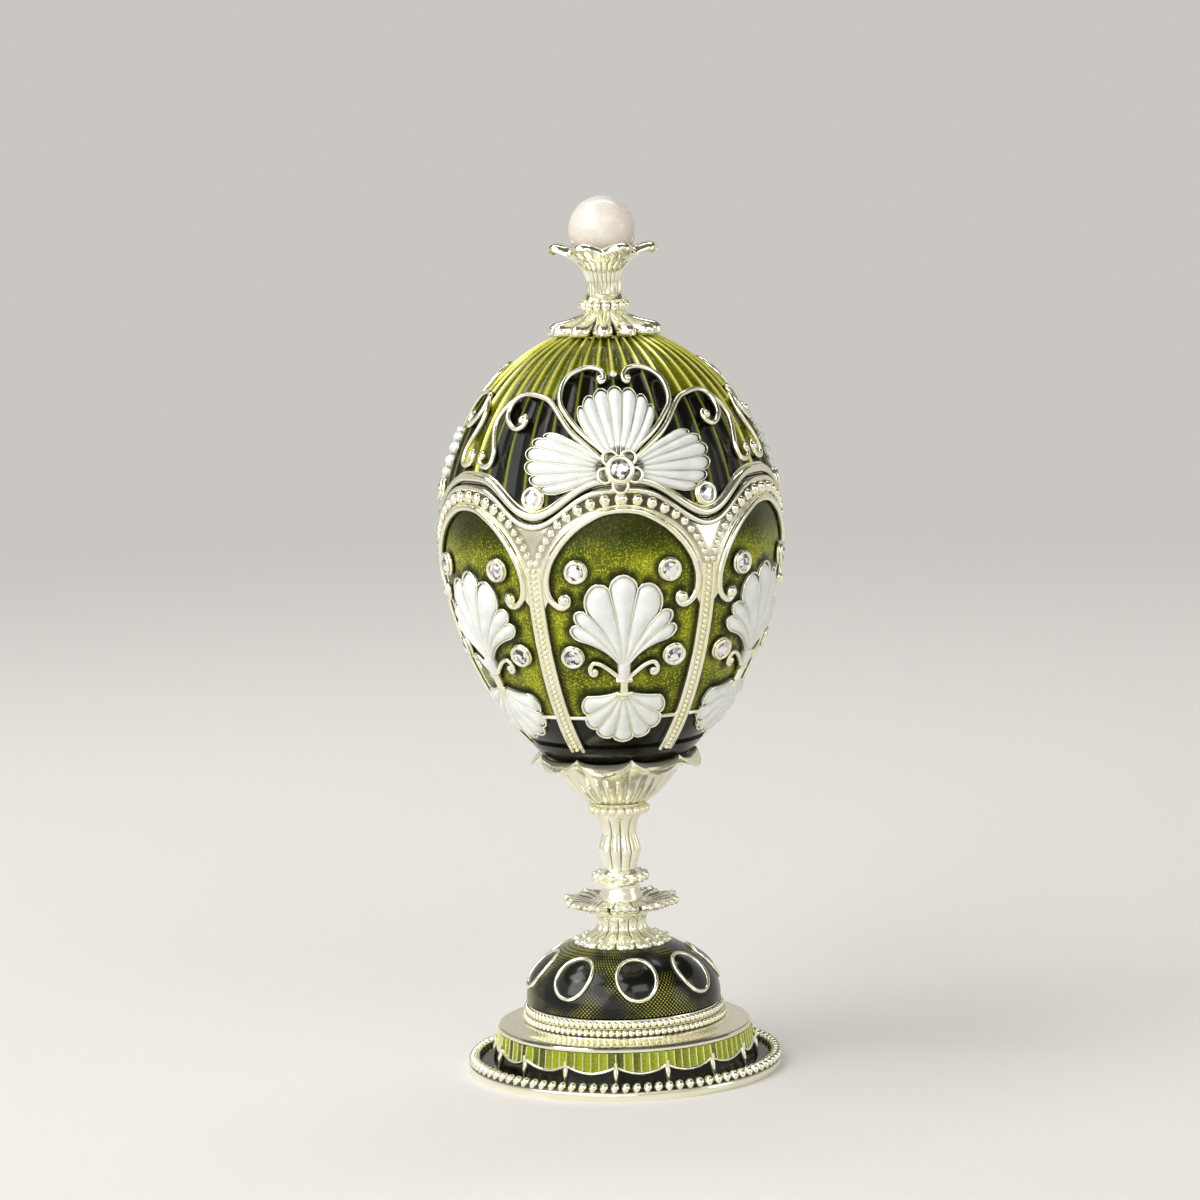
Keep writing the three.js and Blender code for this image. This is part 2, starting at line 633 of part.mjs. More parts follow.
const crownStrips = cartouches.map((middle) => sheet(steps(2), [0, 0.25, 0.5, 0.75, 1], (u, v, skin) => {
  const azimuth = middle + sector / 2 + mix(-stripHalf, stripHalf, u);
  return onEgg(azimuth, mix(bandTop(azimuth) + seat, stripTop, v), skin ? enamelTop : seat - cellDepth);
}));
add('crown_enamel', join([crownCap, ...crownStrips]), greenEnamel);

cartouches.forEach((azimuth, k) => {
  add(`cartouche_enamel_${k + 1}`, sheet(steps(20), [0, 0.33, 0.67, 1], (u, v, skin) => {
    const turn = mix(-cartoucheHalf, cartoucheHalf, u);
    const low = bandTop(azimuth + turn) + seat;
    const high = along(cartoucheTop, Math.abs(turn) / degree) * crownRise - seat * 2;
    return onEgg(azimuth + turn, mix(low, high, v), skin ? enamelTop : seat - cellDepth);
  }), blackEnamel);
});

// Raised wire scrolls round each cartouche, springing from a rosette; the same two measures
const middleLobe = [
  [2, 0.415], [7.3, 0.483], [15.5, 0.563], [20, 0.616], [25, 0.7], [25.5, 0.762],
  [22, 0.802], [15, 0.824], [8.3, 0.817], [5.6, 0.796],
];
const sideLobe = [
  [15.5, 0.563], [20, 0.604], [24.5, 0.656], [33, 0.703], [42, 0.712], [48, 0.693],
  [49.6, 0.647], [47, 0.588], [43, 0.563], [39.4, 0.588],
];
const sideFrame = [
  [46, 0.706], [50.5, 0.678], [54, 0.625], [54.4, 0.57], [51.6, 0.492], [50.4, 0.443],
  [52, 0.402], [55, 0.396], [57.4, 0.421],
];
cartouches.forEach((azimuth, k) => {
  const wire = (path, side, count) => bar(path.map(([turn, share]) =>
    onEgg(azimuth + side * turn * degree, share * crownRise, reliefAxis)), wireRadius, count);
  const wires = [-1, 1].flatMap((side) => [
    wire(middleLobe, side, 11), wire(sideLobe, side, 11), wire(sideFrame, side, 8),
  ]);
  const rosette = stud(azimuth, rosetteHeight, rosetteRadius, rosetteRadius * 0.9,
    seat, reliefBase + reliefHeight, 8);
  add(`scroll_frame_${k + 1}`, join([rosette, ...wires]), gold);
  add(`rosette_crystal_${k + 1}`, stud(azimuth, rosetteHeight, crystalRadius, crystalRadius * 0.6,
    reliefBase + reliefHeight + seat, reliefBase + reliefHeight + seat + 0.8, 8), crystalGlass);
});

// White shells in each cartouche
const middleRoot = 14;
const sideRoot = 12.8;
const sideRootTurn = 5 * degree;
const middleShell = {
  heading: 0, spread: 33, reach: 11.3, outline: [[0, 1], [12, 0.982], [33, 0.92]], root: 0.16, count: 5,
};
const sideShell = { spread: 27, reach: 11, outline: [[0, 1], [27, 0.836]], root: 0.14, count: 5 };
cartouches.forEach((azimuth, k) => {
  add(`middle_shell_${k + 1}`, shellFan({ azimuth, height: middleRoot, ...middleShell }), whiteEnamel);
  [['left', -1], ['right', 1]].forEach(([name, side]) => add(`${name}_shell_${k + 1}`, shellFan({
    azimuth: azimuth + side * sideRootTurn, height: sideRoot, heading: side * 84, ...sideShell,
  }), whiteEnamel));
});

// Finial: petal collar, flower cup and pearl on a threaded stud
const collarLevel = padLevel + seat;
const cupBase = collarLevel + collarHeight + seat;
add('finial_collar', turned((angle) => {
  const tip = collarRadius - 0.9 * (1 - lobe(angle, petals));
  const rise = (v) => collarLevel + v * collarHeight;
  return closed([
    [studBore, rise(0)], [tip * 0.7, rise(0)], [tip, rise(0) - 0.1], [tip, rise(0.1)],
    [collarRadius * 0.74, rise(0.22)],
    [collarRadius * 0.46, rise(0.42)], [collarRadius * 0.34, rise(0.62)], [collarRadius * 0.43, rise(0.72)],
    [collarRadius * 0.45, rise(0.84)], [collarRadius * 0.3, rise(1)], [studBore, rise(1)],
  ]);
}, petals * 2), gold);

const pearlLevel = cupBase + finialCupHeight * 0.62 + pearlRadius;
const pearlUnder = (r) => pearlLevel - Math.sqrt(pearlRadius ** 2 - r ** 2);
add('finial_cup', turned((angle) => {
  const petal = lobe(angle, petals);
  const tip = finialCupRadius - 0.8 * (1 - petal);
  const rise = (v) => cupBase + v * finialCupHeight;
  const nest = pearlRadius + seat * 2;
  return closed([
    [studBore, rise(0)], [finialCupRadius * 0.3, rise(0)], [finialCupRadius * 0.31, rise(0.18)],
    [finialCupRadius * 0.45, rise(0.4)], [finialCupRadius * 0.6, rise(0.6)],
    [tip, rise(0.82) + 0.5 * petal],
    [tip, rise(0.93) + 0.5 * petal], [Math.min(nest, tip - 1), rise(0.82)],
    [pearlRadius * 0.6, pearlUnder(pearlRadius * 0.6) - seat * 1.6],
    [studBore, pearlUnder(studBore) - seat * 1.5],
  ]);
}, petals * 3), gold);

const pegHole = pegRadius + seat;
const pegTop = pearlLevel - pearlRadius * 0.3;
add('pearl', turned(() => [
  [0, pegTop + seat], [pegHole, pegTop + seat], [pegHole, pearlUnder(pegHole)],
  ...[0.1, 0.22, 0.34, 0.46, 0.58, 0.7, 0.82, 0.92].map((v) => {
    const angle = mix(Math.asin(pegHole / pearlRadius), Math.PI, v);
    return [pearlRadius * Math.sin(angle), pearlLevel - pearlRadius * Math.cos(angle)];
  }),
  [0, pearlLevel + pearlRadius],
], 16), pearlCoat);

const nutTop = padUnder - seat;
const studShoulder = pearlUnder(studBore) - seat * 2;
add('finial_stud', turned(() => [
  [0, nutTop - nutHeight - 0.6], [studRadius, nutTop - nutHeight - 0.6], [studRadius, studShoulder],
  [pegRadius, studShoulder], [pegRadius, pegTop], [0, pegTop],
], 12), steel);
add('finial_nut', ring([
  [studBore, nutTop - nutHeight], [nutRadius, nutTop - nutHeight], [nutRadius, nutTop], [studBore, nutTop],
], 6), steel);

// Hinge at the back: two knuckles on the bowl, one on the lid, one pin
const pinBore = across(pinRadius + seat, -hingeHalf - 1, hingeHalf + 1, 12);
add('bowl_hinge', cut(join([
  bowlPlate(0, lugOuter), bowlLug(1, 0, lugOuter), bowlLug(-1, 0, lugOuter),
  across(barrelRadius, knuckleLength / 2 + seat, hingeHalf, 12),
  across(barrelRadius, -hingeHalf, -knuckleLength / 2 - seat, 12),
]), [pinBore]), gold);
add('lid_hinge', cut(join([
  lidLug(0, lugOuter), across(barrelRadius, -knuckleLength / 2, knuckleLength / 2, 12),
]), [pinBore]), gold);
add('hinge_pin', across(pinRadius, -hingeHalf, hingeHalf, 12), gold);

// Magnets that hold the lid shut
add('bowl_magnet', disc(magnetRadius, bowlBossTop - magnetThickness, bowlBossTop), steel);
add('lid_magnet', disc(magnetRadius, lidBossUnder, lidBossUnder + magnetThickness), steel);

export default part;
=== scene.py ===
"""Looks of the egg jewelry box: pale gold castings, enamels, shells, stones and a pearl."""
import json
import math

import bpy
from mathutils import Matrix, Vector

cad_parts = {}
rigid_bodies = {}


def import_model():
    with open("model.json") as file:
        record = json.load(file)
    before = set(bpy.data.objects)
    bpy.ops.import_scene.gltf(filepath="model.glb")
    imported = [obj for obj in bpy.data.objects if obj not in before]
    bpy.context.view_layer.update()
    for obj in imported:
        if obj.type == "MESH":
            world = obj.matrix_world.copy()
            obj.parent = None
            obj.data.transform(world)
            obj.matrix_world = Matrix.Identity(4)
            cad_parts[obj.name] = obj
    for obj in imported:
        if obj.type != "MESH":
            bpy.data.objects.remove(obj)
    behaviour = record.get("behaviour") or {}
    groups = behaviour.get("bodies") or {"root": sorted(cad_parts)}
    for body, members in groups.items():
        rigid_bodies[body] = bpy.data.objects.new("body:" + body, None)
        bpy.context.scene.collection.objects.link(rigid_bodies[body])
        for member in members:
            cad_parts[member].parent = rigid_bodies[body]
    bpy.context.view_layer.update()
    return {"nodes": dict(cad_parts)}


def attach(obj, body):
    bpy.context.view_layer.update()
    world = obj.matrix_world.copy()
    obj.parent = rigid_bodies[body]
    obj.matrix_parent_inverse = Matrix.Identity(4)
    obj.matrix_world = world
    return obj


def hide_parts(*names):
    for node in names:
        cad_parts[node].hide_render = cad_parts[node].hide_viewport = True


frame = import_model()

MM = 0.001

# Sizes of the egg and its stem, in millimetres, as in the solids
GIRTH_RADIUS = 25.6
CROWN_RISE = 32.3
FOOT_DROP = 36.0
FOOT_TAPER = 1.6
GIRTH_LEVEL = 80.0
SEAM_PEAK = 10.2
SEAM_DIP = 5.2
SEAM_SHARPNESS = 1.7
SEAM_GAP = 0.15
WALL = 2.2
CAST_DEPTH = -0.95
ENAMEL_DEPTH = -0.5
PAD_RADIUS = 6.4
PAD_LEVEL = 111.2
STEM_BORE = 1.8
FINIAL_BORE = 1.6


def mix(a, b, t):
    return a + (b - a) * t


def spread(low, high, steps):
    """Even steps from low to high, both ends included."""
    return [mix(low, high, k / steps) for k in range(steps + 1)]


def ramp(low, high, value):
    """Smooth step from 0 at low to 1 at high."""
    t = min(1.0, max(0.0, (value - low) / (high - low)))
    return t * t * (3 - 2 * t)


def along(pairs, place):
    """Value at a place on an outline of (place, value) pairs."""
    if place <= pairs[0][0]:
        return pairs[0][1]
    for (x0, y0), (x1, y1) in zip(pairs, pairs[1:]):
        if place <= x1:
            return mix(y0, y1, (place - x0) / (x1 - x0))
    return pairs[-1][1]


def ripple(turn, count, start=0.0):
    """Height of a row of ribs round the axis, from 1 on a rib to 0 in a groove."""
    return abs(math.cos(math.radians(count / 2 * (turn - start))))


def groove(ridge, width=0.3):
    """Painted shade down a groove, where a rib's height falls to nothing."""
    return 0.85 * (1 - ramp(0.0, width, abs(ridge)))


def fluting(count):
    """Hollow channels between sharp ridges: 1 on a ridge, falling to 0 in the middle of a channel."""
    return (1 - 2 * min(count % 1, 1 - count % 1)) ** 2.0


# The egg's surface

SLOPE_STEP = 0.05
CLIMB_STRIDES = 10


def egg_radius(height):
    if height >= 0:
        return GIRTH_RADIUS * math.sqrt(max(0.0, 1 - (height / CROWN_RISE) ** 2))
    return GIRTH_RADIUS * math.sqrt(max(0.0, 1 - (-height / FOOT_DROP) ** FOOT_TAPER))


def egg_slope(height):
    """Change of the radius with the height."""
    return (egg_radius(height + SLOPE_STEP) - egg_radius(height - SLOPE_STEP)) / (2 * SLOPE_STEP)


def egg_section(height, offset):
    """Radius and level of a point standing off the egg at a height from the girth."""
    slope = egg_slope(height)
    length = math.hypot(1, slope)
    return egg_radius(height) + offset / length, GIRTH_LEVEL + height - offset * slope / length


def round_axis(turn, radius, level):
    """Point at an angle in degrees from the front towards +X."""
    angle = math.radians(turn)
    return radius * math.sin(angle), -radius * math.cos(angle), level


def on_egg(turn, height, offset):
    radius, level = egg_section(height, offset)
    return round_axis(turn, radius, level)


def egg_path(outline, offset, side=1):
    """Points on the egg along (turn, height) pairs, mirrored where side is -1."""
    return [on_egg(side * turn, height, offset) for turn, height in outline]


def turn_of(place):
    return math.degrees(math.atan2(place[0], -place[1]))


def turn_and_height(place):
    return turn_of(place), place[2] - GIRTH_LEVEL


def climb(height, distance):
    """Height reached after walking a distance up the egg's side."""
    for _ in range(CLIMB_STRIDES):
        height += distance / CLIMB_STRIDES / math.hypot(1, egg_slope(height))
    return height


def walk(turn, height, heading, distance):
    """Turn and height reached from a point by walking over the egg, heading measured from straight up."""
    angle = math.radians(heading)
    level = climb(height, distance * math.cos(angle))
    return turn + math.degrees(distance * math.sin(angle) / egg_radius(level)), level


def seam_height(turn):
    """Height of the wavy seam between bowl and lid, with six peaks and six dips."""
    wave = (1 - math.cos(math.radians(6 * turn))) / 2
    return SEAM_PEAK - SEAM_DIP * wave ** SEAM_SHARPNESS


def eased(points, each=6):
    """Points of a smooth curve through a list of points."""
    done = []
    for i in range(len(points) - 1):
        before = points[max(0, i - 1)]
        a, b = points[i], points[i + 1]
        after = points[min(len(points) - 1, i + 2)]
        for k in range(each):
            t = k / each
            row = []
            for p, q, r, s in zip(before, a, b, after):
                bend = 2 * q + (r - p) * t + (2 * p - 5 * q + 4 * r - s) * t * t
                row.append(0.5 * (bend + (3 * q - p - 3 * r + s) * t ** 3))
            done.append(tuple(row))
    done.append(tuple(points[-1]))
    return done


def mirrored(outline):
    """The whole of a symmetric outline from its right half, which starts on the middle line."""
    return [(-turn, height) for turn, height in reversed(outline[1:])] + list(outline)


def lengths_along(path):
    """Length from the start of a path to each of its points."""
    lengths = [0.0]
    for a, b in zip(path, path[1:]):
        lengths.append(lengths[-1] + math.dist(a, b))
    return lengths


def at_length(path, lengths, goal):
    """Point of a path at a length from its start."""
    span = max(i for i, length in enumerate(lengths[:-1]) if length <= goal)
    t = (goal - lengths[span]) / (lengths[span + 1] - lengths[span])
    return tuple(mix(a, b, t) for a, b in zip(path[span], path[span + 1]))


def paced(path, pitch):
    """Points at an even pitch along a path."""
    lengths = lengths_along(path)
    count = max(1, round(lengths[-1] / pitch))
    return [at_length(path, lengths, goal) for goal in spread(0.0, lengths[-1], count)]


# Modelling, with everything placed in its mesh

LATHE_SIDES = 96
MERGE_DISTANCE = 0.002


def start_clean():
    if bpy.context.mode != "OBJECT":
        bpy.ops.object.mode_set(mode="OBJECT")
    bpy.ops.object.select_all(action="DESELECT")


def take(piece):
    start_clean()
    piece.select_set(True)
    bpy.context.view_layer.objects.active = piece


def called(piece, name):
    piece.name = name
    piece.data.name = name
    return piece


def named(name):
    return called(bpy.context.object, name)


def smooth(piece, angle):
    bpy.ops.object.shade_smooth_by_angle(angle=math.radians(angle))
    return piece


def finish_mesh(piece, angle=40, outward=True):
    """Merge doubled points, face outward and shade smooth up to an angle."""
    take(piece)
    bpy.ops.object.mode_set(mode="EDIT")
    bpy.ops.mesh.select_all(action="SELECT")
    bpy.ops.mesh.remove_doubles(threshold=MERGE_DISTANCE * MM)
    if outward:
        bpy.ops.mesh.normals_make_consistent(inside=False)
    bpy.ops.object.mode_set(mode="OBJECT")
    return smooth(piece, angle)


def turned(name, profile, sides=LATHE_SIDES):
    """A lathe piece: the profile is drawn point by point from its foot and spun round the axis."""
    start_clean()
    bpy.ops.mesh.primitive_plane_add(size=MM, location=(0, 0, 0))
    piece = named(name)
    bpy.ops.object.mode_set(mode="EDIT")
    bpy.ops.mesh.merge(type="CENTER")
    radius, level = profile[0]
    bpy.ops.transform.translate(value=(radius * MM, 0, level * MM))
    for (r0, z0), (r1, z1) in zip(profile, profile[1:]):
        step = ((r1 - r0) * MM, 0, (z1 - z0) * MM)
        bpy.ops.mesh.extrude_region_move(TRANSFORM_OT_translate={"value": step})
    bpy.ops.mesh.select_all(action="SELECT")
    bpy.ops.mesh.spin(steps=sides, angle=2 * math.pi, center=(0, 0, 0), axis=(0, 0, 1))
    bpy.ops.object.mode_set(mode="OBJECT")
    return finish_mesh(piece)


def shaped_grid(name, columns, rows, place):
    """A flat grid whose points are moved one by one: place gives a point for each column and row."""
    start_clean()
    bpy.ops.mesh.primitive_grid_add(x_subdivisions=columns, y_subdivisions=rows, size=2, location=(0, 0, 0))
    piece = named(name)
    for vertex in piece.data.vertices:
        column = round((vertex.co.x + 1) / 2 * columns)
        row = round((vertex.co.y + 1) / 2 * rows)
        vertex.co = Vector(place(column, row)) * MM
    return piece


def rolled(name, sides, section_at, angle=50, outward=True):
    """A ring whose section changes with the angle: a grid rolled round the axis."""
    sections = [section_at(360 * i / sides) for i in range(sides)]

    def place(column, row):
        radius, level = sections[column % sides][row]
        return round_axis(360 * (column % sides) / sides, radius, level)

    piece = shaped_grid(name, sides, len(sections[0]) - 1, place)
    return finish_mesh(piece, angle, outward)


def draped(name, columns, rows, place, angle=50):
    """A flat grid laid over the egg: place gives a point for each share across and up."""
    piece = shaped_grid(name, columns, rows, lambda column, row: place(column / columns, row / rows))
    return smooth(piece, angle)


def wire(name, path, thickness, tips=(1.0, 1.0), loop=False, tip_share=0.2):
    """A round wire along a path, tapering towards its tips."""
    start_clean()
    bpy.ops.curve.primitive_nurbs_path_add(location=(0, 0, 0))
    curve = named(name).data
    curve.splines.clear()
    spline = curve.splines.new("POLY")
    last = len(path) - 1
    spline.points.add(last)
    for i, (knot, place) in enumerate(zip(spline.points, path)):
        knot.co = (place[0] * MM, place[1] * MM, place[2] * MM, 1)
        first_end = mix(tips[0], 1, min(1, i / last / tip_share))
        second_end = mix(tips[1], 1, min(1, (last - i) / last / tip_share))
        knot.radius = first_end * second_end
    spline.use_cyclic_u = loop
    spline.use_smooth = True
    curve.dimensions = "3D"
    curve.bevel_depth = thickness * MM
    curve.bevel_resolution = 2
    curve.use_fill_caps = not loop
    bpy.ops.object.convert(target="MESH")
    return finish_mesh(named(name), 60)


def ball(name, place, radius, segments=12, rings=7, squash=1.0):
    start_clean()
    bpy.ops.mesh.primitive_uv_sphere_add(segments=segments, ring_count=rings, radius=radius * MM)
    piece = named(name)
    for vertex in piece.data.vertices:
        vertex.co.z *= squash
    piece.data.transform(Matrix.Translation(Vector(place) * MM))
    bpy.ops.object.shade_smooth()
    return piece


def joined(name, parts):
    start_clean()
    for part in parts:
        part.select_set(True)
    bpy.context.view_layer.objects.active = parts[0]
    if len(parts) > 1:
        bpy.ops.object.join()
    return named(name)


def twin_of(piece, name, change):
    """A copy with its own mesh, moved by a matrix."""
    twin = piece.copy()
    twin.data = piece.data.copy()
    twin.data.transform(change)
    bpy.context.collection.objects.link(twin)
    return called(twin, name)


def round_copies(piece, count, stem):
    """Copies turned evenly round the axis, numbered from 1."""
    row = [called(piece, f"{stem}_1")]
    for k in range(1, count):
        turn = Matrix.Rotation(math.radians(360 * k / count), 4, "Z")
        row.append(twin_of(piece, f"{stem}_{k + 1}", turn))
    return row


def beads(name, places, radius, segments=10, rings=6):
    """One bead copied to many places and joined."""
    first = ball(name, places[0], radius, segments, rings)
    row = [first]
    for place in places[1:]:
        shift = Vector(place) * MM - Vector(places[0]) * MM
        row.append(twin_of(first, name, Matrix.Translation(shift)))
    return joined(name, row)


def bead_ring(name, radius, level, bead, count, turn=0.0):
    return beads(name, [round_axis(turn + 360 * k / count, radius, level) for k in range(count)], bead)


def upright_on_egg(turn, height, offset):
    """Matrix that stands a piece modelled about the origin on the egg, its +Z pointing off the surface."""
    foot = Vector(on_egg(turn, height, offset))
    tip = Vector(on_egg(turn, height, offset + 1))
    outward = (tip - foot).normalized()
    side = Vector((math.cos(math.radians(turn)), math.sin(math.radians(turn)), 0))
    spin = Matrix((side, outward.cross(side), outward)).transposed().to_4x4()
    return Matrix.Translation(foot * MM) @ spin


def choose_faces(piece, chosen):
    """Open a piece for editing with only the faces selected whose middle is chosen."""
    take(piece)
    for part in (*piece.data.vertices, *piece.data.edges):
        part.select = False
    for face in piece.data.polygons:
        face.select = chosen(face.center / MM)
    bpy.ops.object.mode_set(mode="EDIT")
    bpy.ops.mesh.select_mode(type="FACE")


def close_faces():
    bpy.ops.mesh.select_mode(type="VERT")
    bpy.ops.object.mode_set(mode="OBJECT")


def separate_faces(piece, name, chosen):
    """Part the faces whose middle is chosen into a piece of their own."""
    before = set(bpy.data.objects)
    choose_faces(piece, chosen)
    bpy.ops.mesh.separate(type="SELECTED")
    close_faces()
    return called((set(bpy.data.objects) - before).pop(), name)


def drop_faces(piece, chosen):
    """Delete the faces whose middle is chosen."""
    choose_faces(piece, chosen)
    bpy.ops.mesh.delete(type="FACE")
    close_faces()


def shade_points(piece, amount, name="pool"):
    """Store a number on each point, from its place in millimetres; by default it is the painted shade and the
    enamel's depth that the finishes read.
    """
    layer = piece.data.attributes.new(name=name, type="FLOAT", domain="POINT")
    for vertex, item in zip(piece.data.vertices, layer.data):
        item.value = amount(vertex.co / MM)


# Finishes

def tint(red, green, blue):
    """A colour as seen on screen, made linear."""
    shares = []
    for value in (red, green, blue):
        share = value / 255
        shares.append(share / 12.92 if share <= 0.04045 else ((share + 0.055) / 1.055) ** 2.4)
    return (*shares, 1.0)


class Amount:
    """A number that changes over a surface; reckoning with it adds Math nodes."""

    def __init__(self, finish, socket):
        self.finish = finish
        self.socket = socket

    def reckon(self, operation, first, second):
        made = self.finish.node("ShaderNodeMath", {"operation": operation}, {0: first, 1: second})
        return Amount(self.finish, made.outputs[0])

    def __add__(self, other):
        return self.reckon("ADD", self, other)

    def __radd__(self, other):
        return self.reckon("ADD", other, self)

    def __sub__(self, other):
        return self.reckon("SUBTRACT", self, other)

    def __rsub__(self, other):
        return self.reckon("SUBTRACT", other, self)

    def __mul__(self, other):
        return self.reckon("MULTIPLY", self, other)

    def __rmul__(self, other):
        return self.reckon("MULTIPLY", other, self)


class Finish:
    """A material built from a few procedural layers."""

    def __init__(self, name):
        self.material = bpy.data.materials.new(name)
        self.material.use_nodes = True
        self.tree = self.material.node_tree
        self.tree.nodes.clear()
        self.place = self.node("ShaderNodeTexCoord").outputs["Object"]

    def node(self, kind, settings=None, sockets=None):
        """A node of a kind, with its settings first and then the values or links of its sockets."""
        made = self.tree.nodes.new(kind)
        for key, value in (settings or {}).items():
            setattr(made, key, value)
        for key, value in (sockets or {}).items():
            if isinstance(value, Amount):
                self.tree.links.new(value.socket, made.inputs[key])
            elif isinstance(value, bpy.types.NodeSocket):
                self.tree.links.new(value, made.inputs[key])
            else:
                made.inputs[key].default_value = value
        return made

    def noise(self, scale, detail):
        made = self.node("ShaderNodeTexNoise", {}, {
            "Vector": self.place, "Scale": scale, "Detail": detail, "Roughness": 0.55})
        return Amount(self, made.outputs["Fac"])

    def cells(self, scale):
        made = self.node("ShaderNodeTexVoronoi", {}, {"Vector": self.place, "Scale": scale})
        return Amount(self, made.outputs["Distance"])

    def cell_shade(self, scale):
        made = self.node("ShaderNodeTexVoronoi", {}, {"Vector": self.place, "Scale": scale})
        split = self.node("ShaderNodeSeparateColor", {}, {0: made.outputs["Color"]})
        return Amount(self, split.outputs[0])

    def attribute(self, name):
        made = self.node("ShaderNodeAttribute", {"attribute_name": name})
        return Amount(self, made.outputs["Fac"])

    def between(self, value, low, high):
        made = self.node("ShaderNodeMapRange", {"interpolation_type": "SMOOTHSTEP"}, {
            "Value": value, "From Min": low, "From Max": high})
        return Amount(self, made.outputs["Result"])

    def blend(self, share, first, second):
        made = self.node("ShaderNodeMix", {"data_type": "RGBA"}, {0: share, 6: first, 7: second})
        return made.outputs[2]

    def bump(self, height, strength, distance):
        made = self.node("ShaderNodeBump", {}, {
            "Height": height, "Strength": strength, "Distance": distance * MM})
        return made.outputs["Normal"]

    def output(self, shader):
        self.node("ShaderNodeOutputMaterial", {}, {"Surface": shader})
        return self.material

    def surface(self, **sockets):
        names = {key.replace("_", " "): value for key, value in sockets.items()}
        return self.output(self.node("ShaderNodeBsdfPrincipled", {}, names).outputs["BSDF"])


def pale_gold(name, metal, polish, lumps):
    """Pale gold plating over a lightly uneven casting, with painted shade in its grooves and sockets."""
    gold = Finish(name)
    cloud = gold.noise(180, 4)
    fine = gold.noise(2600, 3)
    swell = gold.noise(800, 2)
    shadow = gold.attribute("pool")
    bright = gold.blend(gold.between(cloud, 0.3, 0.72), tint(244, 241, 212), tint(252, 250, 233))
    # Painted shade: where a piece marks grooves, sockets or gaps, the gold turns dark olive.
    colour = gold.blend(gold.between(shadow, 0.0, 1.0), bright, tint(44, 42, 18))
    rough = polish + cloud * 0.1 + fine * 0.05 + shadow * 0.2
    return gold.surface(
        Base_Color=colour, Metallic=metal, Roughness=rough, Normal=gold.bump(fine * 0.2 + swell, lumps, 0.25))


def grained_gold():
    gold = Finish("grained_gold")
    grain = gold.cells(4200)
    cloud = gold.noise(240, 3)
    low = gold.between(grain, 0.35, 0.9)
    colour = gold.blend(low, tint(252, 248, 228), tint(232, 222, 182))
    return gold.surface(
        Base_Color=colour, Metallic=1.0, Roughness=0.14 + cloud * 0.14,
        Normal=gold.bump(1 - grain, 0.16, 0.06))


def panel_green():
    """Enamel over hammered foil in olive green, with painted glints of the foil and painted shade along the
    frame, under the arch and round the ornament, where the enamel also pools beside metal.
    """
    green = Finish("panel_green")
    pool = green.attribute("pool")
    grain = green.cells(3000)
    cloud = green.noise(130, 3)
    fleck = green.noise(3600, 2)
    field = green.blend(green.between(cloud, 0.32, 0.7), tint(78, 91, 0), tint(134, 142, 6))
    # Painted glints of the foil: bright yellow-green flecks.
    painted_glint = green.between(fleck + cloud * 0.25, 0.6, 0.78)
    field = green.blend(painted_glint * 0.85, field, tint(206, 204, 66))
    # Painted shade, with enamel pooling beside metal: dark olive along the frame, under the arch and round
    # the ornament.
    colour = green.blend(green.between(pool, 0.05, 1.0), field, tint(32, 37, 0))
    return green.surface(
        Base_Color=colour, Metallic=0.25, Roughness=0.26 + fleck * 0.2, Specular_IOR_Level=0.1,
        Coat_Weight=0.22, Coat_Roughness=0.03, Normal=green.bump(1 - grain, 0.5, 0.12))


def fluted_enamel(name, low, high, ridge_highlight, spread_to, metal, gloss):
    """Translucent enamel over flutes: deep in the channels and thin along the ridges, which are lighter
    partly through the thin enamel and partly by a painted highlight; panes carry painted reflections.
    """
    enamel = Finish(name)
    depth = enamel.attribute("pool")
    pane = enamel.attribute("pane")
    fleck = enamel.noise(2600, 2)
    cloud = enamel.noise(150, 4)
    # The pane number adds painted reflections that differ from pane to pane.
    light = enamel.between(fleck * 0.4 + cloud * 0.8 + pane * 0.7, 0.4, 1.1)
    field = enamel.blend(light, low, high)
    # Along the ridges the colour runs to a painted highlight, partly the metal through thin enamel.
    colour = enamel.blend(enamel.between(depth, 0.05, spread_to), ridge_highlight, field)
    return enamel.surface(
        Base_Color=colour, Metallic=metal, Roughness=0.2 + fleck * 0.16, Specular_IOR_Level=0.12,
        Coat_Weight=gloss, Coat_Roughness=0.03, Normal=enamel.bump(fleck, 0.2, 0.06))


def dome_green():
    """Dark enamel over rows of fine engine-turned dots, which show only in painted patches of light."""
    dots_round = 150.0
    dots_per_metre = 10400.0
    green = Finish("dome_green")
    split = green.node("ShaderNodeSeparateXYZ", {}, {0: green.place})
    east, north, up = (Amount(green, split.outputs[axis]) for axis in range(3))
    bearing = east.reckon("ARCTAN2", east, north)
    around = bearing.reckon("SINE", bearing * dots_round, 0.0)
    rows = up.reckon("SINE", up * dots_per_metre, 0.0)
    cloud = green.noise(95, 3)
    # Painted light: cloudy patches turn the enamel lighter and bring out the dots.
    lit = green.between(cloud, 0.42, 0.62)
    dot = green.between(around * rows, 0.1, 0.75) * lit
    field = green.blend(lit, tint(7, 9, 3), tint(22, 26, 4))
    colour = green.blend(dot, field, tint(184, 182, 56))
    return green.surface(
        Base_Color=colour, Metallic=0.0, Roughness=0.18 + cloud * 0.1, Specular_IOR_Level=0.25,
        Coat_Weight=0.2, Coat_Roughness=0.04, Normal=green.bump(dot, 0.3, 0.1))


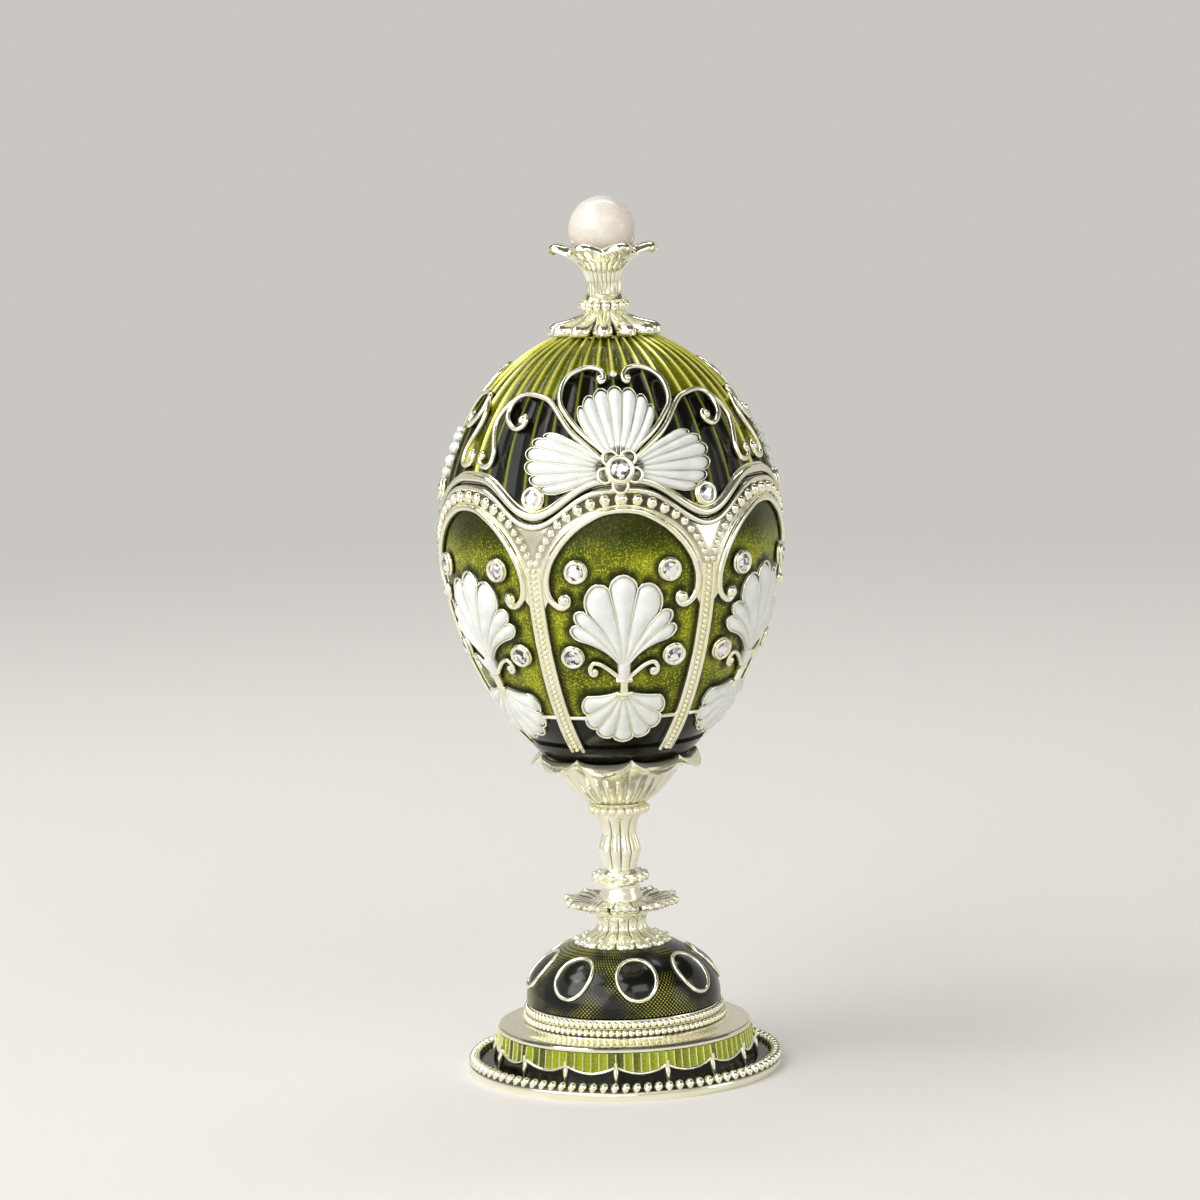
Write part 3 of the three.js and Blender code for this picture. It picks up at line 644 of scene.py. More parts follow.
def black_enamel(name, gloss):
    black = Finish(name)
    cloud = black.noise(160, 4)
    colour = black.blend(black.between(cloud, 0.35, 0.78), tint(10, 11, 4), tint(27, 30, 9))
    return black.surface(
        Base_Color=colour, Metallic=0.0, Roughness=0.12 + cloud * 0.12, Specular_IOR_Level=gloss,
        Coat_Weight=gloss * 0.6, Coat_Roughness=0.05, Normal=black.bump(cloud, 0.12, 0.2))


def white_enamel():
    white = Finish("fired_white")
    cloud = white.noise(420, 4)
    crease_and_rosette_shade = white.attribute("pool")
    field = white.blend(white.between(cloud, 0.3, 0.7), tint(225, 229, 225), tint(239, 241, 236))
    # Painted shade: the creases of the fans and the ground round the rosette turn dark grey.
    colour = white.blend(white.between(crease_and_rosette_shade, 0.1, 1.0), field, tint(62, 64, 56))
    return white.surface(
        Base_Color=colour, Metallic=0.0, Roughness=0.18 + cloud * 0.12, Coat_Weight=0.6, Coat_Roughness=0.08,
        Normal=white.bump(cloud, 0.15, 0.15))


def pearl_nacre():
    pearl = Finish("pearl_nacre")
    cloud = pearl.noise(240, 5)
    colour = pearl.blend(pearl.between(cloud, 0.3, 0.72), tint(226, 216, 203), tint(238, 231, 221))
    return pearl.surface(
        Base_Color=colour, Metallic=0.0, Roughness=0.22 + cloud * 0.1, Coat_Weight=0.6, Coat_Roughness=0.14)


def cut_crystal():
    crystal = Finish("cut_crystal")
    shade = crystal.cell_shade(1500)
    # Painted reflections: each facet cell is dark grey or white.
    colour = crystal.blend(crystal.between(shade, 0.2, 0.62), tint(82, 84, 92), tint(250, 250, 250))
    return crystal.surface(
        Base_Color=colour, Metallic=0.6, Roughness=0.04 + shade * 0.08, Coat_Weight=1.0, Coat_Roughness=0.02)


def turned_steel():
    steel = Finish("turned_steel")
    fine = steel.noise(1800, 3)
    colour = steel.blend(fine, tint(150, 152, 154), tint(186, 188, 190))
    return steel.surface(Base_Color=colour, Metallic=1.0, Roughness=0.3 + fine * 0.16)


def base_felt():
    felt = Finish("base_felt")
    nap = felt.noise(1600, 5)
    colour = felt.blend(nap, tint(20, 28, 18), tint(48, 60, 44))
    return felt.surface(
        Base_Color=colour, Metallic=0.0, Roughness=0.9 + nap * 0.08, Normal=felt.bump(nap, 0.6, 0.2))


GOLD = pale_gold("pale_gold", 0.94, 0.05, 0.12)
SATIN = pale_gold("satin_gold", 0.81, 0.07, 0.3)
GRAINED = grained_gold()
PANEL_GREEN = panel_green()
# The third colour of each fluted enamel is the painted highlight along its ridges.
CROWN_GREEN = fluted_enamel(
    "crown_green", tint(62, 70, 0), tint(156, 159, 10), tint(234, 230, 112), 0.72, 0.25, 0.6)
SKIRT_GREEN = fluted_enamel(
    "skirt_green", tint(48, 62, 0), tint(160, 172, 24), tint(240, 238, 176), 0.5, 0.25, 0.6)
CARTOUCHE_BLACK = fluted_enamel(
    "cartouche_black", tint(6, 7, 2), tint(20, 23, 4), tint(118, 120, 36), 0.42, 0.1, 0.3)
DOME_GREEN = dome_green()
BLACK = black_enamel("fired_black", 0.4)
DEEP_BLACK = black_enamel("deep_black", 0.2)
WHITE = white_enamel()
NACRE = pearl_nacre()
CRYSTAL = cut_crystal()
STEEL = turned_steel()
FELT = base_felt()


def coat(piece, material):
    piece.data.materials.clear()
    piece.data.materials.append(material)
    piece.data.polygons.foreach_set("material_index", [0] * len(piece.data.polygons))
    return piece


def settle(piece, body, *nodes):
    """A finished piece rides on its body and stands for its solids."""
    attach(piece, body)
    if nodes:
        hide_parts(*nodes)


def settle_round(piece, count, stem, body, node=None):
    """Copies of a piece round the axis, each standing for its numbered solid where there is one."""
    for number, copy in enumerate(round_copies(piece, count, stem), 1):
        nodes = [f"{node}_{number}"] if node else []
        settle(copy, body, *nodes)


# Foot: beaded rim, black channel, grained step

RIM_RADIUS = 22.9
RIM_LEVEL = 1.74
RIM_BEADS = 90
RIM_BEAD_LEAN = 22
FOOT_PROFILE = [
    (0, 4.6), (15.4, 4.6), (15.4, 0.0), (23.6, 0.0), (23.75, 0.2), (23.75, 0.95), (23.6, 1.35), (23.25, 1.65),
    (22.9, 1.75), (22.55, 1.65), (22.25, 1.3), (22.1, 0.9), (18.0, 0.9), (18.0, 6.1), (19.0, 6.1),
    (19.2, 6.25), (19.2, 6.6), (19.0, 6.78), (18.6, 6.7), (15.0, 6.7), (15.0, 6.8), (0, 6.8)]
STEP_PROFILE = [
    (15.2, 6.72), (18.7, 6.72), (18.95, 6.88), (18.5, 7.02), (17.4, 7.0), (16.6, 7.1), (16.1, 7.35),
    (15.2, 7.6), (15.2, 6.72)]
CHANNEL_PROFILE = [
    (19.6, 1.0), (22.1, 1.0), (22.1, 1.35), (21.2, 1.5), (20.0, 1.45), (19.6, 1.4), (19.6, 1.0)]

foot = turned("foot_casting", FOOT_PROFILE)
# Painted shade behind the beads of the rim.
shade_points(foot, lambda p: 0.9 * ramp(1.0, 1.4, p.z) * ramp(2.4, 2.0, p.z))
rim_bead = ball("rim_bead", (0, 0, 0), 0.86, 10, 6)
bead_lean = Matrix.Rotation(math.radians(RIM_BEAD_LEAN), 4, "Y")
rim_bead.data.transform(bead_lean @ Matrix.Diagonal((0.76, 1.05, 1.0, 1.0)))
rim_bead.data.transform(Matrix.Translation(Vector((0, -RIM_RADIUS, RIM_LEVEL)) * MM))
rim_beads = joined("rim_beads", round_copies(rim_bead, RIM_BEADS, "rim_bead"))
settle(coat(joined("foot_casting", [foot, rim_beads]), GOLD), "stand", "foot_plinth")
settle(coat(turned("grained_step", STEP_PROFILE), GRAINED), "stand")
settle(coat(turned("foot_channel", CHANNEL_PROFILE), DEEP_BLACK), "stand", "plinth_enamel")

# Scalloped skirt: green panes above, black below, gold swags between

SKIRT_SIDES = 672
SKIRT_ROWS = 20
SKIRT_LOW = 1.2
SKIRT_HIGH = 6.1
SCALLOPS = 16
SCALLOP_FLUTES = 6
SCALLOP_TURN = -360 * 15 / SKIRT_SIDES
CHANCE_STRIDE = 12.9898
CHANCE_SCALE = 43758.5453


def skirt_phase(turn):
    """Share across a scallop, from ridge to ridge."""
    return ((turn - SCALLOP_TURN) / 360 * SCALLOPS) % 1


def swag_level(share):
    drop = mix(0.40, 0.63, math.sin(math.pi * share) ** 0.8)
    return mix(SKIRT_HIGH, SKIRT_LOW, drop)


def skirt_radius(turn, level):
    """The skirt leans out to its foot, hollow across each scallop and fluted above the swag."""
    share = skirt_phase(turn)
    rise = (level - SKIRT_LOW) / (SKIRT_HIGH - SKIRT_LOW)
    flute = fluting(SCALLOP_FLUTES * share) * ramp(-0.1, 0.3, level - swag_level(share))
    hollow = 0.55 * math.sin(math.pi * share) ** 0.7
    lean = mix(20.2, 19.15, rise ** 0.8)
    return lean - hollow * (1 - rise * 0.6) + 0.4 * flute - 0.15


def skirt_section(turn):
    return [(skirt_radius(turn, level), level) for level in spread(SKIRT_LOW, SKIRT_HIGH, SKIRT_ROWS)]


def under_swag(place):
    return place[2] < swag_level(skirt_phase(turn_of(place)))


def painted_pane_reflection(place):
    """A chance number for each pane between two ridges, which paints reflections that differ from pane to
    pane.
    """
    turns = (turn_of(place) - SCALLOP_TURN) / 360
    pane = math.floor(turns * SCALLOPS * SCALLOP_FLUTES)
    return math.sin(pane * CHANCE_STRIDE) * CHANCE_SCALE % 1


def skirt_point(turn, level, stand):
    return round_axis(turn, skirt_radius(turn, level) + stand, level)


skirt = rolled("skirt_green", SKIRT_SIDES, skirt_section, 60, False)
skirt_black = separate_faces(skirt, "skirt_black", under_swag)
# Depth in the flutes, which places the painted highlight along the ridges.
shade_points(skirt, lambda p: 1 - fluting(SCALLOP_FLUTES * skirt_phase(turn_of(p))))
shade_points(skirt, painted_pane_reflection, "pane")
settle(coat(skirt, SKIRT_GREEN), "stand", "skirt_enamel")
settle(coat(skirt_black, DEEP_BLACK), "stand")

swag = []
for share in spread(0, 1, 16):
    turn = SCALLOP_TURN + share * 360 / SCALLOPS
    swag.append(skirt_point(turn, swag_level(min(0.999, share)), 0.05))
swag_wire = wire("swag", swag, 0.3)
thorn_levels = spread(swag_level(0.001) + 0.7, SKIRT_LOW + 0.1, 8)
thorn_path = [skirt_point(SCALLOP_TURN, level, 0.15) for level in thorn_levels]
thorn = wire("thorn", thorn_path, 0.55, (0.4, 0.15), tip_share=0.6)
swag_unit = joined("swag_unit", [swag_wire, thorn])
swags = joined("skirt_swags", round_copies(swag_unit, SCALLOPS, "swag_unit"))
settle(coat(swags, GOLD), "stand")

# Gallery with two bead rows

GALLERY_PROFILE = [
    (12.3, 7.1), (15.75, 7.1), (15.9, 7.25), (15.75, 7.5), (15.0, 7.65), (14.8, 8.6), (14.9, 8.75),
    (14.7, 8.9), (14.5, 10.0), (12.3, 10.0), (12.3, 7.1)]
GALLERY_BEADS = 96

gallery = turned("gallery_casting", GALLERY_PROFILE)
# Painted shade between and behind the two bead rows.
shade_points(gallery, lambda p: 0.75 if 7.6 < p.z < 8.65 or 8.85 < p.z < 9.9 else 0.0)
lower_beads = bead_ring("lower_beads", 15.05, 8.15, 0.52, GALLERY_BEADS)
upper_beads = bead_ring("upper_beads", 14.7, 9.35, 0.52, GALLERY_BEADS, 1.9)
settle(coat(joined("gallery_casting", [gallery, lower_beads, upper_beads]), GOLD), "stand", "gallery_ring")

# Dome with eight oval plates

DOME_LEVEL = 10.3
DOME_RADIUS = 14.7
DOME_RISE = 9.3
DOME_WALL = 0.7
DOME_BEND = 11.6
OVALS = 8
OVAL_TURN = 5.3
OVAL_RISE = 5.3
OVAL_HALF_WIDTH = 2.95
OVAL_HALF_HEIGHT = 3.75


def dome_section(rise, offset):
    """Radius and level of a point standing off the dome, which has a short upright wall at its foot."""
    t = max(0.0, rise - DOME_WALL) / DOME_RISE
    radius = DOME_RADIUS * math.sqrt(max(0.0, 1 - t * t))
    across, up = radius / DOME_RADIUS ** 2, t / DOME_RISE
    length = math.hypot(across, up)
    return radius + offset * across / length, DOME_LEVEL + rise + offset * up / length


def oval_point(angle, grow, offset):
    """Round an oval on the dome, from its top clockwise."""
    across = math.sin(angle) * OVAL_HALF_WIDTH * grow
    up = math.cos(angle) * OVAL_HALF_HEIGHT * grow
    tilt = math.asin((OVAL_RISE - DOME_WALL) / DOME_RISE)
    rise = DOME_WALL + DOME_RISE * math.sin(tilt + up / DOME_BEND)
    girth, _ = dome_section(rise, 0)
    radius, level = dome_section(rise, offset)
    return round_axis(OVAL_TURN + math.degrees(across / girth), radius, level)


dome_rows = [dome_section(9.0 * math.sin(angle), 0) for angle in spread(0, math.pi / 2, 26)]
dome_inside = [(STEM_BORE, 19.3), (STEM_BORE, 17.0), (10.5, 13.2), (12.4, DOME_LEVEL)]
dome = turned("dome_field", [(12.4, DOME_LEVEL)] + dome_rows + dome_inside, 120)
settle(coat(dome, DOME_GREEN), "stand", "base_dome")

oval_path = [oval_point(2 * math.pi * k / 48, 1, 0.15) for k in range(48)]
oval_ring = coat(wire("oval_ring", oval_path, 0.32, loop=True), GOLD)
settle(joined("oval_rings", round_copies(oval_ring, OVALS, "oval_unit")), "stand")
oval_field = draped(
    "oval_field", 32, 6,
    lambda u, v: oval_point(-2 * math.pi * u, 1 - v, 0.12 + 0.35 * (1 - (1 - v) ** 2)))
coat(finish_mesh(oval_field, 60, False), BLACK)
settle(joined("oval_fields", round_copies(oval_field, OVALS, "oval_field")), "stand")

# Stem: calyx, leaf collar, baluster and cup

CALYX_LEAVES = 14
# Beads of each calyx leaf: turn from its middle, radius, level and size
CALYX_CURLS = [
    (0, 7.0, 19.35, 0.55), (8.5, 6.6, 19.45, 0.42), (-8.5, 6.6, 19.45, 0.42),
    (180 / CALYX_LEAVES, 5.7, 20.0, 0.4)]
COLLAR_PETALS = 10
BALUSTER_FLUTES = 10
BALUSTER_TURN = 18
CUP_PETALS = 9
CUP_RIBS = 27
CUP_TURN = -40 / 3


def calyx_section(turn):
    leaf = ripple(turn, CALYX_LEAVES)
    fringe = 7.3 - 0.8 * (1 - leaf ** 0.5)
    rib = 0.5 * leaf ** 0.7
    return [
        (STEM_BORE, 19.5), (fringe - 0.7, 19.3), (fringe - 0.05, 18.95), (fringe, 19.3),
        (fringe - 0.4, 19.75), (5.5 + rib * 0.8, 20.0), (4.5 + rib, 20.4), (3.65 + rib, 21.0),
        (3.3 + rib * 0.9, 21.7), (3.35 + rib * 0.8, 22.4), (3.65 + rib * 0.5, 23.0), (4.1, 23.4), (4.2, 23.7),
        (4.15, 23.92), (STEM_BORE, 23.92), (STEM_BORE, 19.5)]


def calyx_shade(place):
    # Painted shade down the grooves between the leaves, fading out towards the top.
    return groove(ripple(turn_of(place), CALYX_LEAVES)) * ramp(23.3, 22.8, place.z)


calyx = rolled("calyx_leaves", 168, calyx_section)
shade_points(calyx, calyx_shade)
calyx_curls = []
for k in range(CALYX_LEAVES):
    for shift, radius, level, size in CALYX_CURLS:
        place = round_axis(360 * k / CALYX_LEAVES + shift, radius, level)
        calyx_curls.append(ball("calyx_curl", place, size, 10, 6))
settle(coat(joined("calyx_leaves", [calyx, *calyx_curls]), SATIN), "stand", "stem_calyx")


def collar_section(turn):
    petal = ripple(turn, COLLAR_PETALS)
    tip = 8.75 - 1.7 * (1 - petal ** 0.4)
    lift = 0.4 * petal ** 0.5
    rib = 0.22 * ripple(turn, 3 * COLLAR_PETALS)
    return [
        (STEM_BORE, 23.9), (4.0, 23.9), (6.0, 24.1 + lift * 0.3), (tip - 0.5, 24.55 + lift),
        (tip - 0.05, 24.85 + lift), (tip, 25.2 + lift), (tip - 0.35, 25.4 + lift), (tip - 0.8, 25.2 + lift),
        (6.0, 24.95 + rib + lift * 0.4), (5.0, 24.9 + rib), (4.0, 25.4), (3.6, 25.62), (STEM_BORE, 25.62),
        (STEM_BORE, 23.9)]


leaves = rolled("leaf_plate", 240, collar_section)
# Painted shade in the notches between the petals.
shade_points(leaves, lambda p: groove(ripple(turn_of(p), COLLAR_PETALS)))
leaf_tips = bead_ring("leaf_tips", 8.45, 25.5, 0.6, COLLAR_PETALS)
leaf_turns = [360 / COLLAR_PETALS * k + side for k in range(COLLAR_PETALS) for side in (-8, 8)]
leaf_sides = beads("leaf_sides", [round_axis(turn, 8.2, 25.35) for turn in leaf_turns], 0.45)
settle(coat(joined("leaf_plate", [leaves, leaf_tips, leaf_sides]), SATIN), "stand", "leaf_collar")


def baluster_section(turn):
    flute = 0.6 * ripple(turn, BALUSTER_FLUTES, BALUSTER_TURN) ** 0.8
    return [
        (STEM_BORE, 25.6), (3.3, 25.6), (3.3, 26.3), (2.9, 26.9), (2.8, 28.0), (3.0, 28.4), (3.3, 28.7),
        (3.3, 29.5), (2.9, 29.9), (2.3 + flute * 0.3, 30.3), (2.15 + flute * 0.7, 30.9),
        (2.3 + flute * 0.9, 31.6), (2.4 + flute, 32.2), (2.45 + flute, 32.5), (2.62 + flute, 32.75),
        (2.6 + flute, 33.3), (2.4 + flute, 34.2), (2.15 + flute * 0.9, 35.1), (2.1 + flute * 0.8, 35.9),
        (2.2 + flute * 0.75, 36.7), (2.5 + flute * 0.6, 37.5), (3.0 + flute * 0.4, 38.2), (3.4, 38.75),
        (3.6, 39.2), (3.6, 39.9), (4.0, 40.3), (4.0, 40.52), (STEM_BORE, 40.52), (STEM_BORE, 25.6)]


def baluster_shade(place):
    """Painted shade between the beads of both rings and down the flutes."""
    if 28.75 < place.z < 29.45 or 39.25 < place.z < 39.85:
        return 0.75
    fluted = ramp(30.0, 30.8, place.z) * ramp(38.6, 37.8, place.z)
    return groove(ripple(turn_of(place), BALUSTER_FLUTES, BALUSTER_TURN)) * fluted


baluster = rolled("stem_baluster", 160, baluster_section)
shade_points(baluster, baluster_shade)
low_ring = bead_ring("low_ring", 3.75, 29.1, 0.74, 14)
high_ring = bead_ring("high_ring", 4.1, 39.45, 0.66, 20)
settle(coat(joined("stem_baluster", [baluster, low_ring, high_ring]), SATIN), "stand", "baluster")


def cup_section(turn):
    """The wall runs up the egg between nine petals that roll outward and hang at their tips."""
    share = abs(((turn - CUP_TURN) * CUP_PETALS / 360 + 0.5) % 1 - 0.5) * 2
    petal = (1 - share ** 1.6) ** 0.8
    rib = 0.3 * ripple(turn, CUP_RIBS, CUP_TURN)
    under = [
        (STEM_BORE, 40.5), (4.4, 40.5), (5.65 + rib, 41.6), (6.75 + rib, 42.7), (7.7 + rib, 43.8),
        (8.5 + rib, 44.8)]
    wall = [
        (9.2, 45.5), (9.9, 46.3), (10.6, 47.0), (11.3, 47.7), (11.95, 48.3), (12.0, 48.5), (11.75, 48.55),
        (11.4, 48.3), (10.7, 47.6)]
    flap = [
        (9.3, 45.6), (10.2, 46.15), (11.2, 46.5), (12.1, 46.4), (12.8, 46.05), (13.1, 46.35), (12.6, 47.2),
        (11.8, 47.7), (10.7, 47.75)]
    rim = [(mix(a[0], b[0], petal), mix(a[1], b[1], petal)) for a, b in zip(wall, flap)]
    inside = [(9.2, 46.3), (8.0, 45.4), (6.6, 44.7), (STEM_BORE, 44.7), (STEM_BORE, 40.5)]
    return under + rim + inside


def cup_shade(place):
    # Painted shade down the grooves between the ribs, below the petals.
    return 0.6 * groove(ripple(turn_of(place), CUP_RIBS, CUP_TURN)) * ramp(45.6, 44.6, place.z)


cup = rolled("cup_petals", 324, cup_section)
shade_points(cup, cup_shade)
settle(coat(cup, SATIN), "stand", "egg_cup")

# Egg bowl: wall with a pocket for the hinge

HINGE_HALF_WIDTH = 3.9
HINGE_FRONT = 20
HINGE_LOW = 86.9
HINGE_HIGH = 92.2
POCKET_MIDDLE = (0, 25.0, 89.2)
POCKET_SIZE = (7.7, 5.2, 4.4)


def bowl_section(turn):
    top = seam_height(turn) - SEAM_GAP
    outer = [egg_section(height, CAST_DEPTH) for height in spread(-34.5, top, 40)]
    inner = [egg_section(mix(-29.3, top - 0.25, 1 - k / 24), -WALL) for k in range(25)]
    rim = [egg_section(top, -1.3), egg_section(top, -2.0)]
    return [(0, 45.0), (outer[0][0] - 0.3, 45.0)] + outer + rim + inner + [(8.5, 49.6), (0, 49.5)]


def hinge_pocket(place):
    """The part of the back rim that gives way to the hinge."""
    return abs(place[0]) < HINGE_HALF_WIDTH and place[1] > HINGE_FRONT and HINGE_LOW < place[2] < HINGE_HIGH


def cut_hinge_pocket(piece):
    """Cut a block out of the back of a wall, where the hinge lies."""
    start_clean()
    bpy.ops.mesh.primitive_cube_add(size=1, location=(0, 0, 0))
    cutter = named("hinge_cutter")
    for vertex in cutter.data.vertices:
        corner = [middle + share * size for middle, share, size in zip(POCKET_MIDDLE, vertex.co, POCKET_SIZE)]
        vertex.co = Vector(corner) * MM
    take(piece)
    cutting = piece.modifiers.new("pocket", "BOOLEAN")
    cutting.operation = "DIFFERENCE"
    cutting.solver = "EXACT"
    cutting.object = cutter
    bpy.ops.object.modifier_apply(modifier="pocket")
    bpy.data.objects.remove(cutter)


bowl = rolled("bowl_wall", 144, bowl_section, 40)
cut_hinge_pocket(bowl)
settle(coat(bowl, GOLD), "stand", "egg_bowl")

# Frame of six ribs and six arches

PANELS = 6
RIB_TURN = 30
RIB_HALF = 1.1
CELL_FOOT = -30.0
ARCH_FOOT = -2.5
ARCH_RISE = 8.9
ARCH_HALF = 24.6
NARROWING = (-5.5, -8.0)
LIP = [
    (0, 6.75), (4, 6.6), (8, 6.1), (14.6, 4.4), (19.9, 2.1), (23.6, -0.4), (25.4, -2.6), (25.7, -4.2),
    (25.1, -5.7), (23.1, -6.85), (20.6, -7.25), (18.9, -6.7), (18.6, -5.9), (19.6, -5.4)]
LIP_SHADOW = [
    (0, 7.4), (4, 7.25), (8, 6.75), (14.6, 5.2), (20.3, 3.1), (24.4, 0.6), (26.8, -1.9), (28.0, -4.0)]
ARCH_BEADS = [
    (0, 8.3), (5.5, 8.15), (10.5, 7.6), (13, 7.15), (17.5, 6.05), (21, 4.9), (23.8, 3.4), (26.2, 1.8),
    (28.0, 0.2), (29.2, -1.2)]
ARCH_LINE = [Vector(spot) for spot in egg_path(eased(mirrored(ARCH_BEADS), 3), -0.1)]
HINGE_TURN = 170.6


def rib_edge(height):
    return RIB_TURN - math.degrees(RIB_HALF / egg_radius(height))


def cell_half(height):
    """Half the width of a cell, in degrees, at a height."""
    if height > ARCH_FOOT + ARCH_RISE:
        return 0.0
    if height > ARCH_FOOT:
        return ARCH_HALF * math.sqrt(max(0.0, 1 - ((height - ARCH_FOOT) / ARCH_RISE) ** 2))
    return mix(ARCH_HALF, rib_edge(height), ramp(*NARROWING, height))


def frame_line(q):
    """Inner and outer edge of the frame on the right half of a cell, from its foot to its crown."""
    if q < 0.5:
        height = mix(CELL_FOOT, ARCH_FOOT, q / 0.5)
        return (cell_half(height), height), (RIB_TURN, height)
    s = (q - 0.5) / 0.5
    bend = math.pi / 2 * s
    inner = (ARCH_HALF * math.cos(bend), ARCH_FOOT + ARCH_RISE * math.sin(bend))
    if s < 0.3:
        return inner, (RIB_TURN, mix(ARCH_FOOT, seam_height(RIB_TURN) - SEAM_GAP, s / 0.3))
    turn = RIB_TURN * (1 - (s - 0.3) / 0.7)
    return inner, (turn, seam_height(turn) - SEAM_GAP)


def frame_spot(u, v):
    side = -1 if u < 0.5 else 1
    (t0, h0), (t1, h1) = frame_line(1 - abs(2 * u - 1))
    depth = CAST_DEPTH + 0.83 * ramp(0.0, 0.08, v)
    return on_egg(side * mix(t0, t1, v), mix(h0, h1, v), depth)


def channel_shade(place):
    """Painted shade in the channel that the arch's beads lie in, deeper towards the top."""
    near = min((place - spot).length for spot in ARCH_LINE)
    return mix(0.4, 0.85, ramp(80.0, 87.5, place.z)) * (1 - ramp(0.75, 1.15, near))


def graded_beads(name, path, small, large):
    """Beads that grow towards the crown of an arch, each touching the next."""
    lengths = lengths_along(path)
    half = lengths[-1] / 2
    row, reached = [], 0.35
    while reached < half:
        radius = mix(small, large, ramp(0.0, 0.75, reached / half))
        row.append((reached, radius))
        reached += radius * 2.25
    stretch = half / (row[-1][0] + row[-1][1] * 0.2)
    found = []
    for reached, radius in row:
        goal = reached * stretch
        for length in (goal, lengths[-1] - goal):
            found.append(ball(name, at_length(path, lengths, length), radius, 10, 6))
    return joined(name, found)


def rib_path(side_step, low, high):
    """A line up a rib, a step to one side of its middle."""
    path = []
    for height in spread(low, high, 40):
        turn = RIB_TURN + math.degrees(side_step / egg_radius(height))
        path.append(on_egg(turn, height, -0.05))
    return path


def seam_path(rise, offset):
    """A line along the seam, open at the hinge."""
    turns = spread(-HINGE_TURN, HINGE_TURN, 240)
    return [on_egg(turn, seam_height(turn) + rise, offset) for turn in turns]


def seam_shade(place):
    """Painted shade in the groove between the rims of bowl and lid, and under the bowl's rim."""
    turn, height = turn_and_height(place)
    rise = height - seam_height(turn)
    return 0.9 * max(1 - ramp(0.1, 0.42, abs(rise)), ramp(-0.95, -1.15, rise))


frame_sheet = draped("frame_sheet", 168, 24, frame_spot)
shade_points(frame_sheet, channel_shade)
lip = wire("lip", egg_path(eased(mirrored(LIP), 5), 0.0), 0.5, (0.8, 0.8), tip_share=0.1)
lip_balls = [ball("lip_ball", on_egg(side * 20.0, -6.1, 0.1), 0.9) for side in (-1, 1)]
arch_beads = graded_beads("arch_beads", egg_path(eased(mirrored(ARCH_BEADS), 5), -0.02), 0.5, 0.9)
rib_wires = [wire("rib_edge", rib_path(step, CELL_FOOT, -1.6), 0.34) for step in (-0.88, 0.88)]
rib_beads = beads("rib_beads", paced(rib_path(0, CELL_FOOT + 0.3, -2.0), 0.84), 0.42, 8, 5)
fine_line = wire("fine_line", egg_path(eased(mirrored(LIP_SHADOW), 5), -0.08), 0.2)
sector = joined("frame_sector", [frame_sheet, lip, *lip_balls, arch_beads, *rib_wires, rib_beads, fine_line])
sectors = round_copies(coat(sector, GOLD), PANELS, "frame_sector")
drop_faces(sectors[3], hinge_pocket)
bowl_rim = wire("bowl_rim", seam_path(-SEAM_GAP - 0.52, -0.12), 0.5)
shade_points(bowl_rim, seam_shade)
settle(coat(joined("bowl_frame", [*sectors, bowl_rim]), GOLD), "stand")

# Black ring at the foot of the bowl

RING_LOW = -33.2
RING_HIGH = -29.7

ring_face = []
for share in spread(0, 1, 8):
    swell = 0.25 * math.sin(math.pi * share)
    ring_face.append(egg_section(mix(RING_LOW, RING_HIGH, share), swell - 0.1))
ring_back = [egg_section(RING_HIGH, -0.9), egg_section(RING_LOW, -0.9), egg_section(RING_LOW, -0.1)]
settle(coat(turned("bowl_foot_ring", ring_face + ring_back), DEEP_BLACK), "stand")

# Ornament on each panel

FAN_ROWS = 18
FAN_COLUMNS = 10
BIG_SHELL = {
    "turn": 0.0, "height": -17.2, "heading": 0.0, "splay": 0.42,
    "edges": [-54, -43, -31, -9.5, 9.5, 31, 43, 54],
    "outline": [(0, 15.3), (17, 14.6), (26, 13.4), (31, 12.2), (37, 11.9), (43, 11.2), (49, 10.4), (54, 9.4)],
    "root": 0.05, "base": -0.2, "lift": 0.9, "notch": 0.11, "line": 0.13,
}
SMALL_SHELL = {
    "turn": 0.0, "height": -20.0, "heading": 180.0, "splay": 0.8,
    "edges": [-80, -52, -29, -10, 10, 29, 52, 80],
    "outline": [(0, 9.9), (12, 9.6), (28, 9.0), (52, 7.5), (80, 5.9)],
    "root": 0.1, "base": -0.2, "lift": 0.85, "notch": 0.09, "line": 0.13,
}
ARM = [
    (1.2, -18.2), (4.4, -17.1), (8.0, -16.0), (11.2, -15.6), (13.0, -16.3), (12.8, -17.2), (11.2, -17.4),
    (10.4, -16.7)]
# Turn and height of the stones on the right half of a panel
BEZELS = [(15.5, -2.0), (19.2, -14.7)]


def fan_point(shell, swing, share, offset):
    reach = along(shell["outline"], abs(swing))
    splay = swing * mix(shell["splay"], 1.0, min(1.0, share))
    turn, height = walk(shell["turn"], shell["height"], shell["heading"] + splay, reach * share)
    return on_egg(turn, height, offset)


def petal_of(shell, swing):
    """Share across the petal at a swing."""
    edges = shell["edges"]
    for a, b in zip(edges, edges[1:]):
        if swing <= b:
            return max(0.0, (swing - a) / (b - a))
    return 1.0


def fan_swings(shell, each):
    edges = shell["edges"]
    swings = []
    for a, b in zip(edges, edges[1:]):
        swings += spread(a, b, each)[:-1]
    return swings + [edges[-1]]


def fan_edge(shell, swing):
    """How far a petal's rounded end reaches, as a share."""
    return 1 - shell["notch"] * (1 - math.sin(math.pi * petal_of(shell, swing)) ** 0.55)


